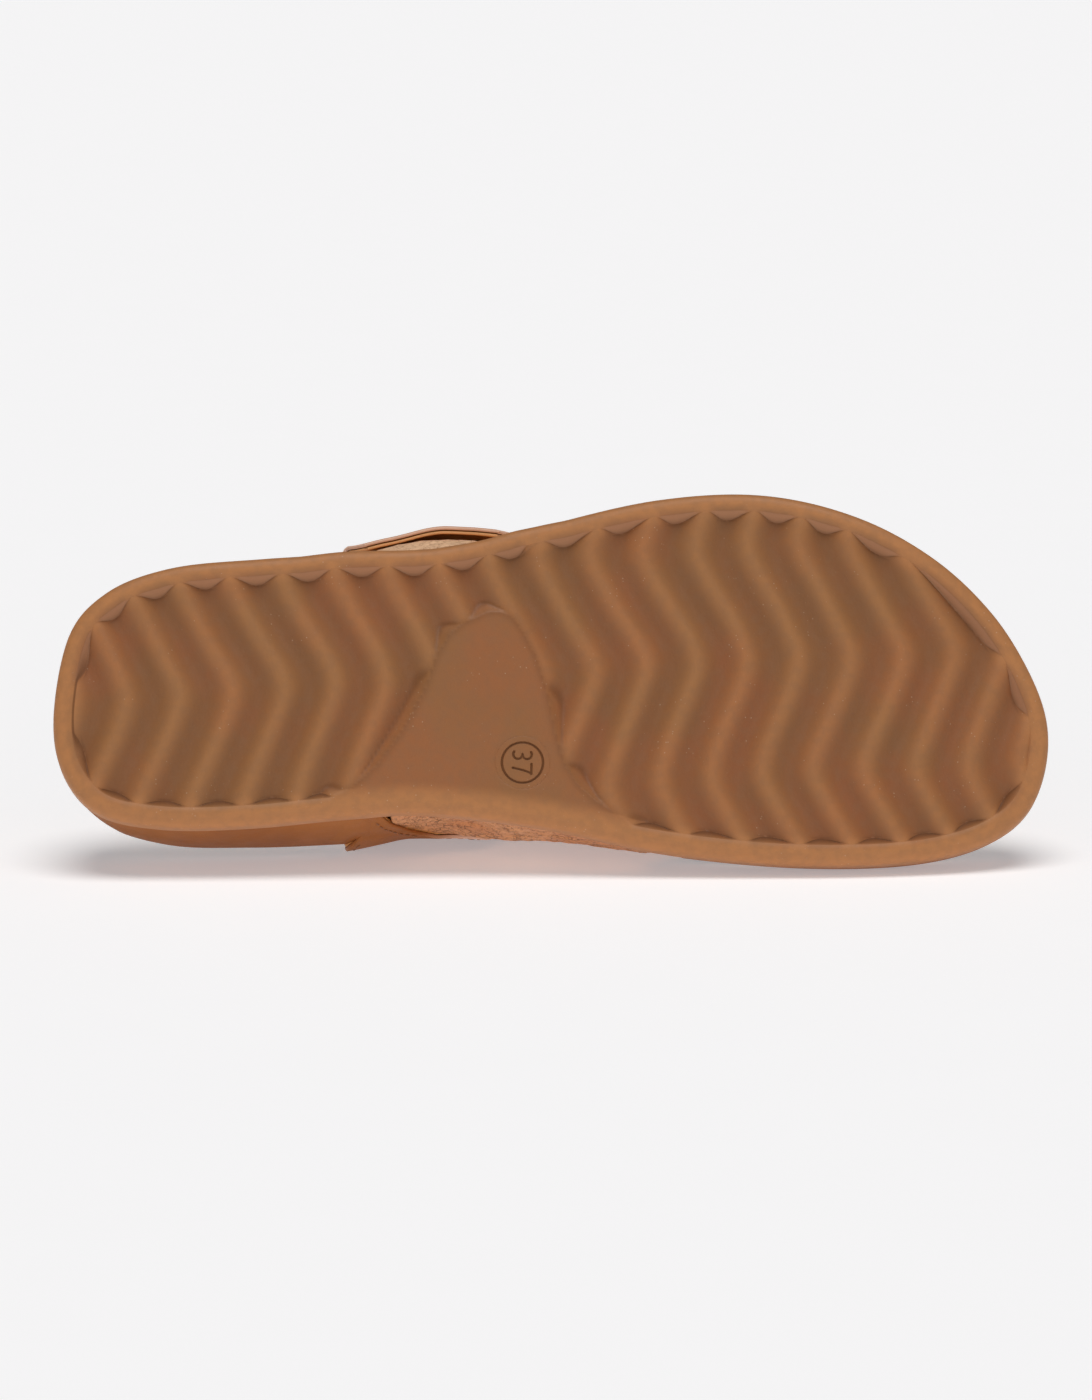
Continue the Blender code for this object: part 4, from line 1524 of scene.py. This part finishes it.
def strap_lift(share: Array, across: Array) -> Array:
    """Lift of the strap: on the upper, clear of it at its loose end, flared at its heel edge.

    Args:
        share: Places along the shoe, as shares of LENGTH.
        across: Shares of the way round.

    Returns:
        Lift of the strap's inner face off the last.
    """
    loose = STRAP_STAND_OFF * smooth_step((across - 0.72) / 0.10)
    rise = smooth_step((across - 0.06) / 0.05) * smooth_step((0.24 - across) / 0.08)
    flare = STRAP_FLARE * rise * smooth_step((0.325 - share) / 0.030)
    return UPPER_WALL + STRAP_GAP + loose + flare


def visible_strap_lift(share: Array, across: Array) -> Array:
    """The strap's lift: sunk towards its seam on the inner side, drooping at its loose end.

    Args:
        share: Places along the shoe, as shares of LENGTH.
        across: Shares of the way round.

    Returns:
        Lift of the strap's inner face off the last.
    """
    hump, middle, reach = DROOP_HUMP
    droop = hump * smooth_step(1.0 - np.abs(share - middle) / reach)
    droop = droop + sum(fall * smooth_step((share - start) / run) for fall, start, run in DROOP)
    droop = droop * smooth_step((across - 0.70) / 0.08)
    wide, near, seam = (sink * smooth_step((across - start) / run) for sink, start, run in SINK)
    front = 0.0010 * smooth_step((0.170 - across) / 0.030) * smooth_step((share - 0.375) / 0.030)
    sunk = np.maximum(np.maximum(wide, near) + seam, front)
    return strap_lift(share, across) - droop - sunk


def visible_upper_lift(share: Array, across: Array) -> Array:
    """The upper's swell where the loose strap bears on nothing."""
    along = read_table(SWELL, 1, share, True)
    return along * smooth_step((across - 0.735) / 0.07) * smooth_step((0.985 - across) / 0.08)


def crinkle(share: Array, across: Array) -> Array:
    """Raised and sunk leather: listed creases over a soft, uneven puckering.

    Args:
        share: Places along the shoe, as shares of LENGTH.
        across: Shares of the way round.

    Returns:
        Height of the skin over its even surface.
    """
    x, y = share * LENGTH * 1000.0, across * ROUND_WAY * 1000.0
    wide = np.sin(x * 0.83 + 2.2 * np.sin(y * 0.37)) * np.sin(y * 0.71 + 1.7 * np.sin(x * 0.29))
    fine = np.sin(x * 1.9 + 1.3 * np.sin(y * 1.1)) * np.sin(y * 1.6 + np.sin(x * 0.9))
    height = 0.10 * wide + 0.07 * fine
    for place, way_round, length, width, angle, depth in CREASES:
        turn = math.radians(angle)
        dx, dy = x - place * LENGTH * 1000.0, y - way_round * ROUND_WAY * 1000.0
        along = dx * math.cos(turn) + dy * math.sin(turn)
        aside = dy * math.cos(turn) - dx * math.sin(turn) + 0.6 * np.sin(along * 0.45)
        reach = smooth_step(1.0 - np.abs(along) / (length / 2))
        height -= depth * reach * np.exp(-((aside / width) ** 2))
        height += 0.35 * depth * reach * np.exp(-(((aside - 2.0 * width) / width) ** 2))
    return height / 1000.0


@dataclass
class Upper:
    """Crinkled leather upper with its lining."""

    skin: float = 0.0012
    stitch: Stitch = Stitch()
    seam_inset: float = 0.0024

    def build(
        self, crackle: bpy.types.Material, lining: bpy.types.Material, thread: bpy.types.Material
    ) -> None:
        """Makes the upper's two layers and its edge seams.

        Args:
            crackle: Material of the skin.
            lining: Material of the lining.
            thread: Material of the stitches.
        """
        split = UPPER_WALL - self.skin
        outer = Layer(
            "upper_skin", SKIN_EDGES, split + 0.00005, UPPER_WALL, columns=90, rows=230,
            lift=visible_upper_lift, relief=crinkle,
        )
        outer.build(Slot.CRACKLE, crackle, "upper")
        inner = Layer(
            "upper_lining", SKIN_EDGES, 0.0, split, inset=0.0004, lift=visible_upper_lift
        )
        inner.build(Slot.CRACKLE, lining)
        for part, first, last in (("front", 0.13, 0.365), ("outer", 0.415, 0.87)):
            path = outer.seam(2, self.seam_inset, first, last)
            self.stitch.sew(f"upper_{part}_stitches", path, Slot.CRACKLE, thread)


@dataclass
class InstepStrap:
    """Smooth leather strap with an orange lining and a loose rounded end."""

    skin: float = 0.0011
    split_gap: float = 0.0001
    stitch: Stitch = Stitch()
    seam_inset: float = 0.0026
    wing_stitch: Stitch = Stitch(0.0016, 0.0011, 0.00028)
    # The wing starts behind the strap's rear edge and ends before it, in shares of LENGTH.
    wing_rear: float = 0.300
    wing_behind: float = 0.062
    wing_run: float = 0.068
    wing_tuck: float = 0.0022
    wing_belly: float = 0.0005
    wing_edge: float = 0.0006
    wing_lift: float = 0.00015

    def build(
        self, leather: bpy.types.Material, lining: bpy.types.Material, thread: bpy.types.Material
    ) -> None:
        """Makes the strap's two layers, its wing and its seams.

        Args:
            leather: Material of the strap's outside.
            lining: Material of its lining.
            thread: Material of the stitches.
        """
        split = STRAP_WALL - self.skin
        outer = Layer(
            "strap_skin", STRAP_EDGES, split + self.split_gap, STRAP_WALL, lift=visible_strap_lift
        )
        outer.build(Slot.STRAP, leather, "instep_strap")
        inner = Layer(
            "strap_lining", STRAP_EDGES, 0.0, split - self.split_gap, inset=0.0003,
            lift=visible_strap_lift,
        )
        inner.build(Slot.STRAP, lining)
        self.wing(leather, thread)
        for part, side, first in (("front", 2, 0.130), ("rear", 1, 0.100)):
            path = outer.seam(side, self.seam_inset, first, 0.825)
            self.stitch.sew(f"strap_{part}_stitches", path, Slot.STRAP, thread)

    def wing(self, leather: bpy.types.Material, thread: bpy.types.Material) -> None:
        """Makes the skived leather that joins the strap's rear edge to the wrap.

        Args:
            leather: Its material.
            thread: Material of the stitches.
        """
        up = np.linspace(0.0, 0.90, 40)[:, None]
        part = np.linspace(0.0, 1.0, 60)
        across = up * SIDE_SHARE + 0.0 * part
        rear = read_table(STRAP_EDGES, 1, np.maximum(across, STRAP_EDGES[0][0]), True)
        share = np.maximum(rear, self.wing_rear) - self.wing_behind + self.wing_run * part
        onto = visible_strap_lift(share, across) + STRAP_WALL + 0.00005
        onto = onto + (self.wing_tuck - onto) * smooth_step((up - 0.45) / 0.35)
        raised = last_point(share, across, onto)
        low = smooth_step(1.0 - up / 0.10)
        raised[..., 2] -= low * (raised[..., 2] - joint_height(share) - 0.0001)
        inset = side_inset(share, True, up, True) - self.wing_belly * np.sin(math.pi * up)
        inset = inset + self.wing_edge * smooth_step((up - 0.70) / 0.15)
        foot = joint_height(share) + self.wing_lift
        height = foot + (edge_height(share, True) - INSOLE_THICKNESS - foot) * up
        flat = np.stack([share * LENGTH, outline_side(share, True) - inset - 0.00004, height], -1)
        blend = smooth_step((part - 0.50) / 0.40) * smooth_step(up / 0.20)
        rows = flat + (raised - flat) * blend[..., None]
        mesh = grid_mesh("strap_wing", rows, False, cut=np.zeros(share.shape))
        add_piece("strap_wing", mesh, Slot.STRAP, leather)
        seam = np.linspace(0.028, 0.110, 60)
        edge = read_table(STRAP_EDGES, 2, seam, True) - self.seam_inset / LENGTH
        path = last_point(edge, seam, visible_strap_lift(edge, seam) + STRAP_WALL + 0.0001)
        self.wing_stitch.sew("wing_stitches", path, Slot.STRAP, thread)


@dataclass
class ToePost:
    """Leather post between the big toe and the next."""

    share: float = 0.742
    across: float = 0.387
    width: float = 0.0088
    depth: float = 0.0058
    steps: int = 48
    # Flares at the foot and at the top, over the plain middle.
    plain: float = 0.92
    foot_flare: float = 0.30
    top_flare: float = 0.22
    # The sleeve's closing fold: place round the post, width and height.
    fold_turn: float = 2.6
    fold_width: float = 0.16
    fold_height: float = 0.05

    def footbed_top(self, x: float, y: float) -> float:
        """Height of the insole's top at a point inside the shoe.

        Args:
            x: Place along the shoe.
            y: Place across it.

        Returns:
            The height.
        """
        share = x / LENGTH
        middle = (outline_side(share, True) + outline_side(share, False)) / 2
        inner = y > middle
        margin = side_inset(share, inner, 1.0) + INSOLE_MARGIN
        wall = outline_side(share, inner) + (-margin if inner else margin)
        reach = abs((y - middle) / (wall - middle))
        centre = EDGE_HEIGHT * read_table(FOOTBED, 3, share)
        return float(centre + (edge_height(share, inner) - centre) * reach**DISH_POWER)

    def build(self, leather: bpy.types.Material) -> None:
        """Makes the post, flared where it enters the insole and the upper.

        Args:
            leather: Its material.
        """
        top = last_surface(np.array([self.share]), np.array([self.across]))[0]
        foot_x = top[0] + self.depth / 2
        foot = np.array([foot_x, top[1], self.footbed_top(foot_x, top[1])])
        turns = np.linspace(0.0, 2 * math.pi, self.steps, endpoint=False)
        from_fold = (turns - self.fold_turn) / self.fold_width
        fold = 1.0 + self.fold_height * np.exp(-(from_fold**2))
        parts = np.linspace(0.0, 1.0, 22)
        flare = self.foot_flare * np.exp(-parts / 0.06)
        flare = flare + self.top_flare * np.exp((parts - 1.0) / 0.08)
        # The first and last ring close the ends.
        rings = []
        for part, swell in zip(np.pad(parts, 1, "edge"), np.pad(self.plain + flare, 1)):
            centre = foot + (top - foot) * part
            x = centre[0] + self.depth / 2 * swell * fold * np.cos(turns)
            y = centre[1] + self.width / 2 * swell * fold * np.sin(turns)
            rings.append(np.column_stack([x, y, np.full(len(turns), centre[2])]))
        rows = np.array(rings)
        mesh = grid_mesh("post_sleeve", rows, True, cut=np.zeros(rows.shape[:2]))
        add_piece("post_sleeve", mesh, Slot.POST, leather, "toe_post")


@dataclass(frozen=True)
class Studio:
    """Level pale floor, soft light and the photograph's camera."""

    target: tuple[float, float, float] = (-0.001478, -0.054161, 0.046965)
    azimuth: float = -0.011
    elevation: float = 9.574
    roll: float = -0.235
    distance: float = 1.476
    lens: float = 151.98
    sensor: float = 36.0
    glow: float = 0.292
    overhead: float = 0.16
    behind: float = 0.20
    ahead: float = 1.43
    above: float = 1.74
    above_place: tuple[float, float, float] = (0.02, -0.12, 0.99)
    above_angle: float = 40.0
    paper: Colour = (0.928, 0.885, 0.862)
    paper_light: Colour = (0.938, 0.895, 0.872)
    glow_colour: Colour = (0.90, 0.985, 1.06)

    def camera(self) -> None:
        """Puts the camera where the photograph was taken from."""
        azimuth, elevation = math.radians(self.azimuth), math.radians(self.elevation)
        level_part = math.cos(elevation)
        ahead = Vector(
            (-math.sin(azimuth) * level_part, math.cos(azimuth) * level_part, -math.sin(elevation))
        )
        level = ahead.cross(Vector((0.0, 0.0, 1.0))).normalized()
        upright = level.cross(ahead)
        roll = math.radians(self.roll)
        right = level * math.cos(roll) + upright * math.sin(roll)
        up = right.cross(ahead)
        data = bpy.data.cameras.new("camera")
        data.lens = self.lens
        data.sensor_width = self.sensor
        data.clip_start, data.clip_end = 0.05, 30.0
        camera = new_object("camera", data)
        turn = Matrix((right, up, -ahead)).transposed().to_4x4()
        place = Vector(self.target) - ahead * self.distance
        camera.matrix_world = Matrix.Translation(place) @ turn
        bpy.context.scene.camera = camera

    def floor(self) -> None:
        """Makes the level floor, a pale table that glows a little."""
        mesh = bmesh.new()
        bmesh.ops.create_grid(mesh, x_segments=2, y_segments=2, size=16.0)
        data = mesh_data(mesh, "floor")
        graph = Graph("floor_paper")
        grain = graph.noise(30.0, 2.0)
        colour = graph.mix(grain, self.paper, self.paper_light)
        roughness = graph.math("ADD", graph.times(grain, 0.05), 0.85)
        graph.shader.inputs["Emission Color"].default_value = (*self.glow_colour, 1.0)
        graph.shader.inputs["Emission Strength"].default_value = self.glow
        normal = graph.bump(grain, 0.01, 0.0001)
        data.materials.append(graph.finish(colour, roughness, normal, 0.0))
        floor = new_object("floor", data)

    def sky(self) -> None:
        """Makes the soft light all round, brightest in front and near the horizon."""
        world = bpy.data.worlds.new("studio")
        world.use_nodes = True
        tree = world.node_tree
        place = tree.nodes.new("ShaderNodeTexCoord")
        split = tree.nodes.new("ShaderNodeSeparateXYZ")
        both = tree.nodes.new("ShaderNodeMath")
        both.operation = "MULTIPLY"
        tree.links.new(place.outputs["Generated"], split.inputs[0])
        for index, (axis, values) in enumerate(
            (("Z", (0.0, 0.5, 1.0, self.overhead)), ("Y", (0.2, -0.8, self.behind, self.ahead)))
        ):
            ramp = tree.nodes.new("ShaderNodeMapRange")
            for key, value in zip(("From Min", "From Max", "To Min", "To Max"), values):
                ramp.inputs[key].default_value = value
            tree.links.new(split.outputs[axis], ramp.inputs["Value"])
            tree.links.new(ramp.outputs[0], both.inputs[index])
        tree.links.new(both.outputs[0], tree.nodes["Background"].inputs["Strength"])
        tree.nodes["Background"].inputs["Color"].default_value = (1.0, 1.0, 1.0, 1.0)
        bpy.context.scene.world = world

    def sun(self, name: str, place: Sequence[float], angle: float, power: float) -> None:
        """One even, soft light from a direction.

        Args:
            name: Name of the light.
            place: Direction that it comes from.
            angle: How wide it looks, in degrees.
            power: Its strength.
        """
        data = bpy.data.lights.new(name, "SUN")
        data.angle = math.radians(angle)
        data.energy = power
        lamp = new_object(name, data)
        lamp.rotation_euler = (-Vector(place)).to_track_quat("-Z", "Y").to_euler()

    def build(self) -> None:
        """Makes the set."""
        self.camera()
        self.floor()
        self.sky()
        self.sun("above", self.above_place, self.above_angle, self.above)
        scene = bpy.context.scene
        scene.view_settings.view_transform = "Standard"
        scene.view_settings.look = "None"


def main() -> None:
    """Builds the sandal and its set."""
    logging.basicConfig(level=logging.INFO, format="%(name)s: %(message)s")
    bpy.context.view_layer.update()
    rubber = RubberFinish("gum_rubber").build()
    wrap = LeatherFinish("wrap_leather", (0.400, 0.138, 0.030), (0.320, 0.102, 0.020)).build()
    insole = LeatherFinish("insole_leather", (0.560, 0.300, 0.150), (0.470, 0.230, 0.105)).build()
    crackle = CrackleFinish("crackle_leather").build()
    lining = LeatherFinish(
        "lining_leather", (0.820, 0.370, 0.100), (0.740, 0.310, 0.080), (0.880, 0.470, 0.210)
    ).build()
    strap = LeatherFinish("strap_leather", (0.410, 0.145, 0.034), (0.330, 0.106, 0.022)).build()
    thread = ThreadFinish("thread", (0.360, 0.150, 0.060)).build()
    Outsole().build(rubber)
    Footbed().build(wrap, insole, thread)
    Upper().build(crackle, lining, thread)
    InstepStrap().build(strap, lining, thread)
    ToePost().build(strap)
    Studio().build()
    bpy.context.view_layer.update()
    sole_low, sole_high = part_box("outsole")
    LOG.info("outsole solid spans %s to %s", list(sole_low), list(sole_high))


if __name__ == "__main__":
    main()
